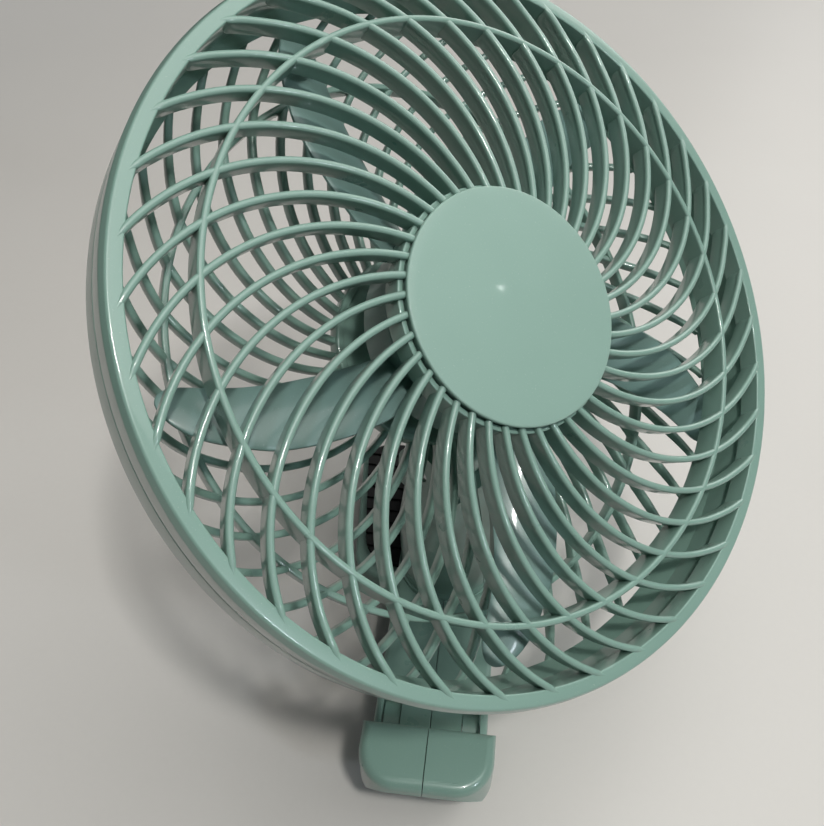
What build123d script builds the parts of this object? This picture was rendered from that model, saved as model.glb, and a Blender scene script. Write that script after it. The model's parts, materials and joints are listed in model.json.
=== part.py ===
from build123d import *
from math import acos, atan2, degrees, hypot, pi, sqrt
import os

# Clip fan: a round fan head with a spiral grille on a swivelling neck, on a base that is the upper arm
# of a sprung clip. The lower arm stands on the table. Millimetres, +Z up, the clip's thumb end at -Y,
# its jaws at +Y. The origin is on the table, under the neck's swivel axis.

os.makedirs("parts", exist_ok=True)

# --- clearances -------------------------------------------------------------------------------------
running_gap = 0.3      # between faces that move past each other
pin_clearance = 0.05   # radial, round a turning pin or spigot
seat_gap = 0.02        # radial, round a piece pressed or dropped into its seat
seam_gap = 0.3         # between the two halves of a housing
wall = 2.0             # moulded housings
cut_past = 2.0         # how far a cut runs past the last face

# --- pose of the head -------------------------------------------------------------------------------
swivel_rest = 51.8     # head turned from the clip's front, degrees
tilt_rest = 46.6       # head tilted up from level, degrees
hinge_height = 86.1    # tilt hinge over the table
hinge_to_rim = 55.8    # tilt hinge to the rim plane, along the fan's axis
hinge_drop = 33.0      # tilt hinge below the fan's axis

# --- front grille -----------------------------------------------------------------------------------
rim_r = 98.0
rim_width = 4.6
rim_height = 8.8
rim_round = 2.6
rim_skirt = 2.0        # outer skirt's thickness
rim_lip = 6.2          # lip's depth under the rim plane
grille_crown = 5.1     # dome of the ribs over the rim plane
rib_count = 40
rib_end_lap = 0.4      # rib's centre line into the rim and the hub ring
rib_width = 1.8
rib_facets = 4
rib_depth = 6.0
rib_arc_r = 54.5       # every rib is an arc of this radius in plan ...
rib_arc_offset = 55.95 # ... about a centre at this distance from the fan's axis
front_rib_angle = 3.7  # where the first rib crosses the ring
ring_r = 78.0
ring_width = 1.7
ring_depth = 7.6
hub_ring_r = 32.8
hub_ring_width = 1.6
hub_ring_depth = 8.0
hub_floor = 2.0
cap_gap = 0.4
cap_rim_height = 5.6   # cap's edge over the rim plane
cap_crown = 0.9        # and its dome over that
cap_edge = 0.6

# --- rear grille ------------------------------------------------------------------------------------
parting_gap = 0.3      # groove between the front rim and the rear wall
rear_wall = 3.6
rear_wall_foot = 14.5  # rim plane down to where the rear wall starts to curve in
spigot_lap = 2.0       # rear wall's spigot inside the front skirt
spigot_gap = 0.2
bowl_inset = 6.2       # rim to where the ribs leave the rear wall
bowl_depth = 19.8
wall_depth = 20.4      # rim plane down to the wall's lower edge
wall_foot_width = 3.2
wall_foot_rake = 1.6
bowl_knee_r = 77.4
bowl_knee_depth = 33.0
bowl_mid_r = 49.0
bowl_mid_depth = 39.2
rear_hub_r = 28.5
rear_hub_depth = 41.2
rear_rib_depth = 3.5
rear_rib_angle = 1.9
rear_ring_width = 1.8
rear_ring_drop = 0.6
rear_ring_rise = 0.2
motor_plate = 2.6
hub_flange_width = 2.2
hub_flange_rise = 1.4

# --- rotor ------------------------------------------------------------------------------------------
blade_count = 5
blade_thickness = 1.5
blade_camber = 1.6
rotor_hub_r = 28.0
rotor_hub_front = 9.0  # rim plane down to the hub's front face
rotor_hub_height = 15.0
rotor_hub_edge = 2.4
rotor_boss_r = 5.0
rotor_boss_height = 4.0
shaft_r = 1.5
shaft_front = 5.5
nut_width = 9.0
nut_height = 4.6
# radius, then leading edge angle and depth, trailing edge angle and depth, under the rim plane
blade_stations = (
    (27.0, 168.0, 18.0, 195.0, 9.5),
    (49.0, 167.5, 14.0, 187.0, 7.6),
    (68.6, 165.2, 13.0, 179.0, 8.6),
    (80.0, 163.0, 13.4, 172.8, 9.6),
    (86.0, 162.2, 13.8, 168.6, 10.8),
    (88.6, 163.6, 13.4, 166.4, 12.0),
)

# --- motor ------------------------------------------------------------------------------------------
can_r = 16.0
can_wall = 0.9
can_front = 18.0       # rim plane down to the can's front face
end_bell_height = 2.2
bush_r = 3.5
bush_length = 4.0
bush_boss_r = 5.0
bush_boss_rise = 1.5
magnet_set_back = 3.0  # behind the can's front wall
magnet_thickness = 3.0
magnet_length = 13.0
magnet_apart = 9.0
armature_length = 12.0
armature_air_gap = 0.6
armature_slots = 5
armature_slot = 2.4

# --- motor cover and tilt hinge ---------------------------------------------------------------------
cover_depth = 63.0     # rim plane to the cover's rear face
cover_rear_r = 17.0
cover_edge = 4.0
cover_inset = 0.4      # cover's front edge inside the hub ring
cover_screw_circle = 19.0
cover_screw_seat = 54.0
knuckle_r = 9.5
knuckle_half_width = 6.4
knuckle_lap = 2.0      # knuckle's web inside the cover's corner
tilt_washer_gap = 0.1
tilt_washer = 0.7
tilt_washer_r = 7.5
tilt_pin_r = 2.5
tilt_pin_inset = 0.8   # pin's ends below the fork's faces
fork_width = 30.0
fork_play = 1.0        # fork's floor below the knuckle
fork_floor_inset = 0.4 # floor plate narrower than the fork

# --- neck -------------------------------------------------------------------------------------------
neck_flange_r = 17.0
neck_flange = 3.0
neck_waist_height = 55.0
neck_waist = (35.0, 30.0)
neck_waist_corner = 13.0
neck_foot_inset = 0.2  # neck's foot inside the flange's edge
neck_foot_corner = 16.4
neck_top_depth = 21.0
neck_top_corner = 7.0
neck_wall = 2.2
spigot_r = 9.0
spigot_wall = 2.4
swivel_ring_r = 12.5
swivel_ring_height = 1.6
swivel_groove = 0.8
neck_screw_heights = (42.0, 67.0)

# --- base housing: the upper arm of the clip --------------------------------------------------------
base_width = 36.0
base_bottom = 13.0
base_top = 25.0
base_round = 3.5
base_edge = 1.8
jaw_end = 58.0
thumb_width = 41.0
thumb_length = 19.9
thumb_front = 85.2
thumb_top = 33.0
thumb_bottom = 19.0
thumb_front_corner = 12.0
thumb_rear_corner = 4.5
thumb_round = 3.0
thumb_rake = 4.4       # front's lower edge behind its upper one ...
thumb_rake_height = 9.0 # ... over this height
hollow_corner = 1.0    # corners of the room in the thumb end
thumb_lap = 0.7        # body's front end inside the thumb end
collar_r = 17.6
collar_height = 2.0
cell_bay = (-43.0, 20.0)
switch_bay = (22.0, 51.0)

# --- clip hinge -------------------------------------------------------------------------------------
hinge_y = -57.5
hinge_z = 15.0
hinge_bay_rear = 7.7   # bay's rear wall behind the hinge
hinge_bay_depth = 2.6  # bay's floor below the base's top
ear_r = 6.5
ear_width = 5.2
ear_inset = 2.4        # base's side walls beside the ears
clip_pin_r = 2.0
lug_r = 7.0
spring_bay = 9.4
spring_wire_r = 0.6
spring_coil_r = 3.2
spring_turns = 2
spring_sides = 8
spring_pitch = 2.0
spring_leg = 15.0
spring_rise = 4.1      # spring bay's roof over the hinge
wire_steps = 400       # points on the wire at which its least gap is measured
pin_inset = 0.6        # pin's ends below the base's sides
spring_leg_slope = 24.0

# --- lower arm --------------------------------------------------------------------------------------
arm_bottom = 1.0
arm_top = 5.2
arm_width = 34.0
arm_front = -50.0
tongue_width = 29.0
tongue_front = 74.0
plate_top = 7.6
# jaw plate's and its pad's front and rear, half widths there, and corner radii
plate_edges = (3.0, 72.0, 36.5, 43.0, 12.0, 12.0)
pad_edges = (8.0, 69.8, 32.6, 40.8, 14.0, 9.8)
plate_round = 1.6
pad_seat = 5.4
pad_top = 10.0
pad_groove_pitch = 6.0
pad_groove_width = 1.6
pad_groove_depth = 0.9
sole_strips = ((24.0, -46.0, 10.0), (68.0, 8.0, 66.0))
upper_grooves = 6
lower_grooves = 9
sole_thickness = 2.0

# --- base fittings ----------------------------------------------------------------------------------
jaw_pad_gap = 0.4
jaw_pad_start = 16.0
jaw_pad_inset = 1.0
jaw_pad_width = 31.0
cell_size = (30.0, 28.0, 7.2)
cell_gap = 0.5
cell_round = 1.5
board_size = (33.0, 10.6, 1.2)
board_y = -73.0
board_seat = 0.3
chip_size = (5.0, 5.0, 1.0)
port_opening = (9.4, 3.7)
port_size = (8.94, 3.2, 7.4)
port_wall = 0.35
port_y = -72.9
port_inset = 0.9
port_tongue = (6.6, 0.7, 5.4)
button_y = 36.0
button_r = 6.0
button_proud = 1.5
button_flange = 1.4
button_flange_height = 1.2
button_travel = 1.0
button_edge = 0.6
switch_gap = 0.2
switch_board_size = (24.0, 24.0, 1.2)
switch_board_rise = 1.0
switch_size = 6.0
lens_size = (6.0, 2.4)
lens_y = 46.5
lens_flange = 0.9
lens_proud = 0.1

# --- screws -----------------------------------------------------------------------------------------
screw_r = 1.2
screw_head_r = 2.3
screw_head_height = 1.8
screw_length = 16.0
screw_boss_r = 3.4
screw_wall = 3.4       # base's screws behind the end of the housing and of the hinge bay

# --- planes -----------------------------------------------------------------------------------------
neck = Plane(Location((0, 0, 0), (0, 0, swivel_rest)))
hinge = Plane(neck.location * Location((0, 0, hinge_height), (90 - tilt_rest, 0, 0)))
head = Plane(hinge.location * Location((0, hinge_drop, hinge_to_rim)))
head_section = Plane(head.location * Location((0, 0, 0), (90, 0, 0)))
head_middle = Plane(head.origin, x_dir=head.y_dir, z_dir=head.x_dir)
neck_middle = Plane(neck.origin, x_dir=neck.y_dir, z_dir=neck.x_dir)
fan_axis = Axis(head.origin, head.z_dir)


def angle_at(r):
    """Angle between a rib's point at a radius and the centre of its arc, both seen from the fan's axis."""
    reach = r**2 + rib_arc_offset**2 - rib_arc_r**2
    return degrees(acos(reach / (2 * r * rib_arc_offset)))


def rib(stations, start_angle, hand):
    """One rib: an upright arc in plan, in short facets, cut to a band through (radius, top, depth) stations."""
    centre_angle = start_angle + hand * angle_at(ring_r)
    centre = Vector(rib_arc_offset, 0).rotate(Axis.Z, centre_angle)
    root_r, tip_r = stations[0][0], stations[-1][0]
    radii = [root_r + (tip_r - root_r) * step / rib_facets for step in range(rib_facets + 1)]
    spine = [Vector(r, 0).rotate(Axis.Z, centre_angle - hand * angle_at(r)) for r in radii]
    half = rib_width / 2 / rib_arc_r
    outer = [point + (point - centre) * half for point in spine]
    inner = [point - (point - centre) * half for point in spine]
    along = (spine[-1] - spine[0]).normalized()
    ends = [Vector(r, 0).rotate(Axis.Z, centre_angle - hand * angle_at(r)) for r, top, depth in stations]
    reach = [point.dot(along) for point in ends]
    reach[0] -= rib_width
    reach[-1] += rib_width
    crest_line = [(s, top) for s, (r, top, depth) in zip(reach, stations)]
    foot_line = [(s, top - depth) for s, (r, top, depth) in zip(reach, stations)]
    chord = head.from_local_coords(along) - head.origin
    with BuildPart() as piece:
        with BuildSketch(head.offset(-cover_depth)):
            Polygon(*outer, *reversed(inner), align=None)
        extrude(amount=2 * cover_depth)
        with BuildSketch(Plane(head.origin, x_dir=chord, z_dir=chord.cross(head.z_dir))):
            Polygon(*crest_line, *reversed(foot_line), align=None)
        extrude(amount=2 * rim_r, both=True, mode=Mode.INTERSECT)
    return piece.part


def crest(r):
    """Height of the front ribs' dome over the rim plane at a radius."""
    return grille_crown * (1 - (r / rim_inner_r) ** 2)


def split_in_half(whole, seam, names):
    """Cut a housing along its seam and write both halves, the first on the seam's negative side."""
    for name, side, keep in zip(names, (-1, 1), (Keep.BOTTOM, Keep.TOP)):
        with BuildPart() as half:
            add(whole)
            split(bisect_by=seam.offset(side * seam_gap / 2), keep=keep)
        half.part.label = name
        export_step(half.part, "parts/" + name + ".step")


# ====================================================================================================
# Head
# ====================================================================================================
rim_inner_r = rim_r - rim_width

# --- front grille: rim, ring, hub cup and spiral ribs in one moulding --------------------------------
rib_root_r = hub_ring_r - rib_end_lap
rib_tip_r = rim_inner_r + rib_end_lap
rib_middle_r = (rib_root_r + rib_tip_r) / 2
front_radii = (rib_root_r, rib_middle_r, rib_tip_r)
front_rib = rib([(r, crest(r), rib_depth) for r in front_radii], front_rib_angle, 1)

with BuildPart() as front_grille:
    add([front_rib.rotate(fan_axis, turn * 360 / rib_count) for turn in range(rib_count)])
    with BuildSketch(head_section):
        with BuildLine():
            Polyline(
                (rim_inner_r, -rim_lip),
                (rim_inner_r, 0),
                (rim_r, 0),
                (rim_r, -rim_height),
                (rim_r - rim_skirt, -rim_height),
                (rim_r - rim_skirt, -rim_lip),
                close=True,
            )
        rim_face = make_face()
        outer_corner = rim_face.vertices().group_by(Axis.X)[-1].sort_by(Axis.Y)[-1]
        fillet(outer_corner, radius=rim_round)
    revolve(axis=fan_axis)
    with BuildSketch(head.offset(crest(ring_r) - ring_depth)):
        Circle(ring_r + ring_width / 2)
        Circle(ring_r - ring_width / 2, mode=Mode.SUBTRACT)
    extrude(amount=ring_depth)
    with BuildSketch(head.offset(crest(hub_ring_r) - hub_ring_depth)):
        Circle(hub_ring_r)
        Circle(hub_ring_r - hub_ring_width, mode=Mode.SUBTRACT)
    extrude(amount=hub_ring_depth)
    with BuildSketch(head):
        Circle(hub_ring_r - hub_ring_width / 2)
    extrude(amount=hub_floor)
front_grille.part.label = "front_grille"
export_step(front_grille.part, "parts/front_grille.step")

# --- centre cap: a slightly domed disc in the hub cup -------------------------------------------------
cap_r = hub_ring_r - hub_ring_width - cap_gap
with BuildPart() as centre_cap:
    with BuildSketch(head_section):
        with BuildLine():
            Polyline((0, hub_floor), (cap_r, hub_floor), (cap_r, cap_rim_height))
            crown_r = (cap_r**2 + cap_crown**2) / (2 * cap_crown)
            RadiusArc((cap_r, cap_rim_height), (0, cap_rim_height + cap_crown), -crown_r)
            Line((0, cap_rim_height + cap_crown), (0, hub_floor))
        cap_face = make_face()
        cap_corner = cap_face.vertices().group_by(Axis.X)[-1].sort_by(Axis.Y)[-1]
        chamfer(cap_corner, length=cap_edge)
    revolve(axis=fan_axis)
centre_cap.part.label = "centre_cap"
export_step(centre_cap.part, "parts/centre_cap.step")

# --- rear grille: wall, bowl of mirrored ribs, ring and motor plate -----------------------------------
wall_inner_r = rim_r - rear_wall
bowl_r = rim_r - bowl_inset
spigot_outer_r = rim_r - rim_skirt - spigot_gap
flange_inner_r = rear_hub_r - hub_flange_width
plate_back = -rear_hub_depth - rear_rib_depth
rear_stations = (
    (rear_hub_r - rib_end_lap, -rear_hub_depth, rear_rib_depth),
    (bowl_mid_r, -bowl_mid_depth, rear_rib_depth),
    (bowl_knee_r, -bowl_knee_depth, rear_rib_depth),
    (bowl_r + rib_end_lap, -bowl_depth, wall_foot_width - wall_foot_rake),
)
rear_rib = rib(rear_stations, rear_rib_angle, -1)

with BuildPart() as rear_grille:
    add([rear_rib.rotate(fan_axis, turn * 360 / rib_count) for turn in range(rib_count)])
    with BuildSketch(head_section):
        with BuildLine():
            Polyline(
                (rim_r, -rear_wall_foot),
                (rim_r, -rim_height - parting_gap),
                (spigot_outer_r, -rim_height - parting_gap),
                (spigot_outer_r, spigot_lap - rim_height),
                (wall_inner_r, spigot_lap - rim_height),
                (wall_inner_r, -rear_wall_foot),
                (bowl_r, -wall_depth),
                (bowl_r + wall_foot_width, -wall_depth - wall_foot_rake),
            )
            TangentArc(
                (rim_r, -rear_wall_foot),
                (bowl_r + wall_foot_width, -wall_depth - wall_foot_rake),
                tangent=(0, -1),
            )
        make_face()
    revolve(axis=fan_axis)
    with BuildSketch(head.offset(-bowl_knee_depth - rear_rib_depth - rear_ring_drop)):
        Circle(bowl_knee_r + rear_ring_width / 2)
        Circle(bowl_knee_r - rear_ring_width / 2, mode=Mode.SUBTRACT)
    extrude(amount=rear_rib_depth + rear_ring_drop + rear_ring_rise)
    with BuildSketch(head.offset(plate_back)):
        Circle(rear_hub_r)
        Circle(flange_inner_r, mode=Mode.SUBTRACT)
    extrude(amount=rear_rib_depth + hub_flange_rise)
    with BuildSketch(head.offset(-rear_hub_depth)):
        Circle(rear_hub_r - hub_flange_width / 2)
    extrude(amount=-motor_plate)
    with BuildSketch(head.offset(-rear_hub_depth)):
        Circle(bush_boss_r + seat_gap)
        with PolarLocations(cover_screw_circle, 2):
            Circle(screw_r + seat_gap)
    extrude(amount=-motor_plate, mode=Mode.SUBTRACT)
rear_grille.part.label = "rear_grille"
export_step(rear_grille.part, "parts/rear_grille.step")

# --- motor cover with the tilt knuckle ----------------------------------------------------------------
knuckle_centre = (-hinge_drop, -hinge_to_rim)
with BuildPart() as motor_cover:
    with BuildSketch(head_section):
        with BuildLine():
            Polyline(
                (0, plate_back),
                (rear_hub_r - cover_inset, plate_back),
                (cover_rear_r, -cover_depth),
                (0, -cover_depth),
                close=True,
            )
        cover_face = make_face()
        cover_corner = cover_face.vertices().group_by(Axis.Y)[0].sort_by(Axis.X)[-1]
        chamfer(cover_corner, length=cover_edge)
    revolve(axis=fan_axis)
    with BuildSketch(head_middle):
        with Locations(knuckle_centre):
            Circle(knuckle_r)
        Polygon(
            (-hinge_drop, -hinge_to_rim + knuckle_r),
            (-cover_rear_r, -hinge_to_rim + knuckle_r),
            (-cover_rear_r + knuckle_lap, -cover_depth + knuckle_lap),
            (-hinge_drop, -hinge_to_rim - knuckle_r),
            align=None,
        )
    extrude(amount=knuckle_half_width, both=True)
    with BuildSketch(head_section):
        with BuildLine():
            Polyline(
                (0, plate_back),
                (rear_hub_r - cover_inset - wall, plate_back),
                (cover_rear_r - wall, -cover_depth + wall),
                (0, -cover_depth + wall),
                close=True,
            )
        bay_face = make_face()
        bay_corner = bay_face.vertices().group_by(Axis.Y)[0].sort_by(Axis.X)[-1]
        chamfer(bay_corner, length=cover_edge - wall / 2)
    revolve(axis=fan_axis, mode=Mode.SUBTRACT)
    with BuildSketch(head.offset(plate_back)):
        with PolarLocations(cover_screw_circle, 2):
            Circle(screw_boss_r)
    extrude(amount=plate_back + cover_screw_seat + wall, dir=-head.z_dir)
    with BuildSketch(head.offset(plate_back)):
        with PolarLocations(cover_screw_circle, 2):
            Circle(screw_r + seat_gap)
    extrude(amount=-cover_depth, mode=Mode.SUBTRACT)
    with BuildSketch(head.offset(-cover_screw_seat)):
        with PolarLocations(cover_screw_circle, 2):
            Circle(screw_head_r + running_gap)
    extrude(amount=-cover_depth, mode=Mode.SUBTRACT)
    with BuildSketch(head_middle):
        with Locations(knuckle_centre):
            Circle(tilt_pin_r + pin_clearance)
    extrude(amount=knuckle_half_width, both=True, mode=Mode.SUBTRACT)
motor_cover.part.label = "motor_cover"
export_step(motor_cover.part, "parts/motor_cover.step")

with BuildPart() as cover_screws:
    with BuildSketch(head.offset(-cover_screw_seat)):
        with PolarLocations(cover_screw_circle, 2):
            Circle(screw_r)
    extrude(amount=cover_screw_seat - rear_hub_depth)
    with BuildSketch(head.offset(-cover_screw_seat)):
        with PolarLocations(cover_screw_circle, 2):
            Circle(screw_head_r)
    extrude(amount=-screw_head_height)
cover_screws.part.label = "cover_screws"
export_step(cover_screws.part, "parts/cover_screws.step")

# --- motor: can with its magnets, end bell, two bushes ------------------------------------------------
can_rear = rear_hub_depth - end_bell_height
with BuildPart() as motor_can:
    with BuildSketch(head.offset(-can_rear)):
        Circle(can_r)
    extrude(amount=can_rear - can_front)
    with BuildSketch(head.offset(-can_rear)):
        Circle(can_r - can_wall)
    extrude(amount=can_rear - can_front - can_wall, mode=Mode.SUBTRACT)
    with BuildSketch(head.offset(-can_front - bush_length + bush_boss_rise)):
        Circle(bush_boss_r)
    extrude(amount=bush_length)
    with BuildSketch(head.offset(-can_front - bush_length)):
        Circle(bush_r + seat_gap)
    extrude(amount=bush_length + bush_boss_rise, mode=Mode.SUBTRACT)
motor_can.part.label = "motor_can"
export_step(motor_can.part, "parts/motor_can.step")

with BuildPart() as motor_end_bell:
    with BuildSketch(head.offset(-rear_hub_depth)):
        Circle(can_r)
    extrude(amount=end_bell_height)
    with BuildSketch(head.offset(-rear_hub_depth)):
        Circle(bush_boss_r)
    extrude(amount=-motor_plate)
    with BuildSketch(head.offset(-rear_hub_depth - motor_plate)):
        Circle(bush_r + seat_gap)
    extrude(amount=motor_plate + end_bell_height, mode=Mode.SUBTRACT)
motor_end_bell.part.label = "motor_end_bell"
export_step(motor_end_bell.part, "parts/motor_end_bell.step")

bush_backs = (-can_front - bush_length + bush_boss_rise, -rear_hub_depth - motor_plate)
with BuildPart() as motor_bushes:
    for back in bush_backs:
        with BuildSketch(head.offset(back)):
            Circle(bush_r)
            Circle(shaft_r + pin_clearance, mode=Mode.SUBTRACT)
        extrude(amount=bush_length)
motor_bushes.part.label = "motor_bushes"
export_step(motor_bushes.part, "parts/motor_bushes.step")

magnet_front = can_front + can_wall + magnet_set_back
magnet_r = can_r - can_wall - seat_gap
with BuildPart() as motor_magnets:
    with BuildSketch(head.offset(-magnet_front - magnet_length)):
        Circle(magnet_r)
        Circle(magnet_r - magnet_thickness, mode=Mode.SUBTRACT)
        Rectangle(magnet_apart, 2 * magnet_r, mode=Mode.SUBTRACT)
    extrude(amount=magnet_length)
motor_magnets.part.label = "motor_magnets"
export_step(motor_magnets.part, "parts/motor_magnets.step")

# ====================================================================================================
# Rotor
# ====================================================================================================
armature_r = magnet_r - magnet_thickness - armature_air_gap
armature_front = magnet_front + (magnet_length - armature_length) / 2
with BuildPart() as motor_armature:
    with BuildSketch(head.offset(-armature_front - armature_length)):
        Circle(armature_r)
        Circle(shaft_r + seat_gap, mode=Mode.SUBTRACT)
        with PolarLocations(armature_r, armature_slots):
            Rectangle(2 * armature_slot, armature_slot, mode=Mode.SUBTRACT)
    extrude(amount=armature_length)
motor_armature.part.label = "motor_armature"
export_step(motor_armature.part, "parts/motor_armature.step")

with BuildPart() as motor_shaft:
    with BuildSketch(head.offset(-rear_hub_depth - motor_plate)):
        Circle(shaft_r)
    extrude(amount=rear_hub_depth + motor_plate - shaft_front)
motor_shaft.part.label = "motor_shaft"
export_step(motor_shaft.part, "parts/motor_shaft.step")

with BuildPart() as blade_nut:
    with BuildSketch(head.offset(-rotor_hub_front)):
        RegularPolygon(nut_width / 2, 6, major_radius=False)
    extrude(amount=nut_height)
    with BuildSketch(head.offset(-rotor_hub_front)):
        Circle(shaft_r + seat_gap)
    extrude(amount=rotor_hub_front - shaft_front + seat_gap, mode=Mode.SUBTRACT)
blade_nut.part.label = "blade_nut"
export_step(blade_nut.part, "parts/blade_nut.step")

with BuildPart() as blade:
    for r, lead_angle, lead_depth, trail_angle, trail_depth in blade_stations:
        middle_angle = (lead_angle + trail_angle) / 2
        spoke = Plane(head.location * Location((0, 0, 0), (0, 0, middle_angle)))
        middle = spoke.from_local_coords((r, 0, -(lead_depth + trail_depth) / 2))
        across = r * (trail_angle - lead_angle) * pi / 180
        chord = hypot(across, lead_depth - trail_depth)
        pitch = degrees(atan2(lead_depth - trail_depth, across))
        section = Plane(middle, x_dir=spoke.y_dir, z_dir=spoke.x_dir).rotated((0, 0, pitch))
        camber = blade_camber * chord / blade_stations[0][0]
        half = blade_thickness / 2
        with BuildSketch(section):
            with BuildLine():
                ThreePointArc((-chord / 2, half), (0, camber + half), (chord / 2, half))
                Line((chord / 2, half), (chord / 2, -half))
                ThreePointArc((chord / 2, -half), (0, camber - half), (-chord / 2, -half))
                Line((-chord / 2, -half), (-chord / 2, half))
            make_face()
    loft()

with BuildPart() as fan_blades:
    with BuildSketch(head_section):
        with BuildLine():
            Polyline(
                (0, -rotor_hub_front),
                (rotor_hub_r, -rotor_hub_front),
                (rotor_hub_r, -rotor_hub_front - rotor_hub_height),
                (rotor_hub_r - wall, -rotor_hub_front - rotor_hub_height),
                (rotor_hub_r - wall, -rotor_hub_front - wall),
                (rotor_boss_r, -rotor_hub_front - wall),
                (rotor_boss_r, -rotor_hub_front - wall - rotor_boss_height),
                (0, -rotor_hub_front - wall - rotor_boss_height),
                close=True,
            )
        hub_face = make_face()
        hub_corner = hub_face.vertices().group_by(Axis.X)[-1].sort_by(Axis.Y)[-1]
        chamfer(hub_corner, length=rotor_hub_edge)
    revolve(axis=fan_axis)
    for turn in range(blade_count):
        add(blade.part.rotate(fan_axis, turn * 360 / blade_count))
    with BuildSketch(head_section):
        with BuildLine():
            Polyline(
                (0, -rotor_hub_front - wall - rotor_boss_height),
                (rotor_boss_r, -rotor_hub_front - wall - rotor_boss_height),
                (rotor_boss_r, -rotor_hub_front - wall),
                (rotor_hub_r - wall, -rotor_hub_front - wall),
                (rotor_hub_r - wall, -cover_depth),
                (0, -cover_depth),
                close=True,
            )
        make_face()
    revolve(axis=fan_axis, mode=Mode.SUBTRACT)
    with BuildSketch(head):
        Circle(shaft_r + seat_gap)
    extrude(amount=-cover_depth, mode=Mode.SUBTRACT)
fan_blades.part.label = "fan_blades"
export_step(fan_blades.part, "parts/fan_blades.step")

# ====================================================================================================
# Neck
# ====================================================================================================
flange_bottom = base_top + collar_height + running_gap
neck_foot = flange_bottom + neck_flange
neck_foot_r = neck_flange_r - neck_foot_inset
fork_floor = hinge_height - knuckle_r - fork_play
fork_inner = knuckle_half_width + tilt_washer_gap + tilt_washer
neck_loft = (
    (neck_foot, 2 * neck_foot_r, 2 * neck_foot_r, neck_foot_corner),
    (neck_waist_height, *neck_waist, neck_waist_corner),
    (fork_floor, fork_width, neck_top_depth, neck_top_corner),
)

with BuildPart() as neck_body:
    for height, width, depth, corner in neck_loft:
        with BuildSketch(neck.offset(height)):
            RectangleRounded(width, depth, corner)
    loft(ruled=True)
    for height, width, depth, corner in neck_loft:
        with BuildSketch(neck.offset(height)):
            RectangleRounded(width - 2 * neck_wall, depth - 2 * neck_wall, corner - neck_wall)
    loft(ruled=True, mode=Mode.SUBTRACT)
    with BuildSketch(neck.offset(fork_floor - neck_wall)):
        RectangleRounded(fork_width - fork_floor_inset, neck_top_depth - fork_floor_inset, neck_top_corner)
    extrude(amount=neck_wall)
    with BuildSketch(neck.offset(flange_bottom)):
        Circle(neck_flange_r)
    extrude(amount=neck_flange)
    with BuildSketch(neck_middle):
        with Locations((0, hinge_height)):
            Circle(knuckle_r)
        with Locations((0, (fork_floor + hinge_height) / 2)):
            Rectangle(2 * knuckle_r, hinge_height - fork_floor)
    fork = extrude(amount=fork_width / 2, both=True)
    with BuildSketch(neck.offset(fork_floor)):
        Rectangle(2 * fork_inner, 4 * knuckle_r)
    extrude(amount=2 * knuckle_r + cut_past, mode=Mode.SUBTRACT)
    with BuildSketch(neck_middle):
        with Locations(*[(0, height) for height in neck_screw_heights]):
            Circle(screw_boss_r)
    extrude(amount=neck_waist[0] / 2 - neck_wall, both=True)
    with BuildSketch(neck_middle):
        with Locations((0, hinge_height)):
            Circle(tilt_pin_r + seat_gap)
        with Locations(*[(0, height) for height in neck_screw_heights]):
            Circle(screw_r + seat_gap)
    extrude(amount=fork_width, both=True, mode=Mode.SUBTRACT)
    with BuildSketch(neck_middle.offset(screw_length / 2)):
        with Locations(*[(0, height) for height in neck_screw_heights]):
            Circle(screw_head_r + running_gap)
    extrude(amount=fork_width, mode=Mode.SUBTRACT)
    spigot_bottom = base_top - wall - swivel_ring_height - swivel_groove
    with BuildSketch(neck.offset(spigot_bottom)):
        Circle(spigot_r)
    extrude(amount=flange_bottom - spigot_bottom)
    with BuildSketch(neck.offset(spigot_bottom)):
        Circle(spigot_r - spigot_wall)
    extrude(amount=neck_foot - spigot_bottom, mode=Mode.SUBTRACT)
    ring_bottom = base_top - wall - running_gap - swivel_ring_height
    with BuildSketch(neck.offset(ring_bottom)):
        Circle(spigot_r)
        Circle(spigot_r - swivel_groove, mode=Mode.SUBTRACT)
    extrude(amount=swivel_ring_height, mode=Mode.SUBTRACT)
split_in_half(neck_body.part, neck_middle, ("neck_shell_left", "neck_shell_right"))

with BuildPart() as swivel_ring:
    with BuildSketch(neck.offset(ring_bottom)):
        Circle(swivel_ring_r)
        Circle(spigot_r - swivel_groove, mode=Mode.SUBTRACT)
    extrude(amount=swivel_ring_height)
swivel_ring.part.label = "swivel_ring"
export_step(swivel_ring.part, "parts/swivel_ring.step")

with BuildPart() as neck_screws:
    with BuildSketch(neck_middle.offset(screw_length / 2)):
        with Locations(*[(0, height) for height in neck_screw_heights]):
            Circle(screw_r)
    extrude(amount=-screw_length)
    with BuildSketch(neck_middle.offset(screw_length / 2)):
        with Locations(*[(0, height) for height in neck_screw_heights]):
            Circle(screw_head_r)
    extrude(amount=screw_head_height)
neck_screws.part.label = "neck_screws"
export_step(neck_screws.part, "parts/neck_screws.step")

with BuildPart() as tilt_pin:
    with BuildSketch(neck_middle):
        with Locations((0, hinge_height)):
            Circle(tilt_pin_r)
    extrude(amount=fork_width / 2 - tilt_pin_inset, both=True)
tilt_pin.part.label = "tilt_pin"
export_step(tilt_pin.part, "parts/tilt_pin.step")

with BuildPart() as tilt_washers:
    for side in (-1, 1):
        with BuildSketch(neck_middle.offset(side * fork_inner)):
            with Locations((0, hinge_height)):
                Circle(tilt_washer_r)
                Circle(tilt_pin_r + seat_gap, mode=Mode.SUBTRACT)
        extrude(amount=-side * tilt_washer)
tilt_washers.part.label = "tilt_washers"
export_step(tilt_washers.part, "parts/tilt_washers.step")

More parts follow.
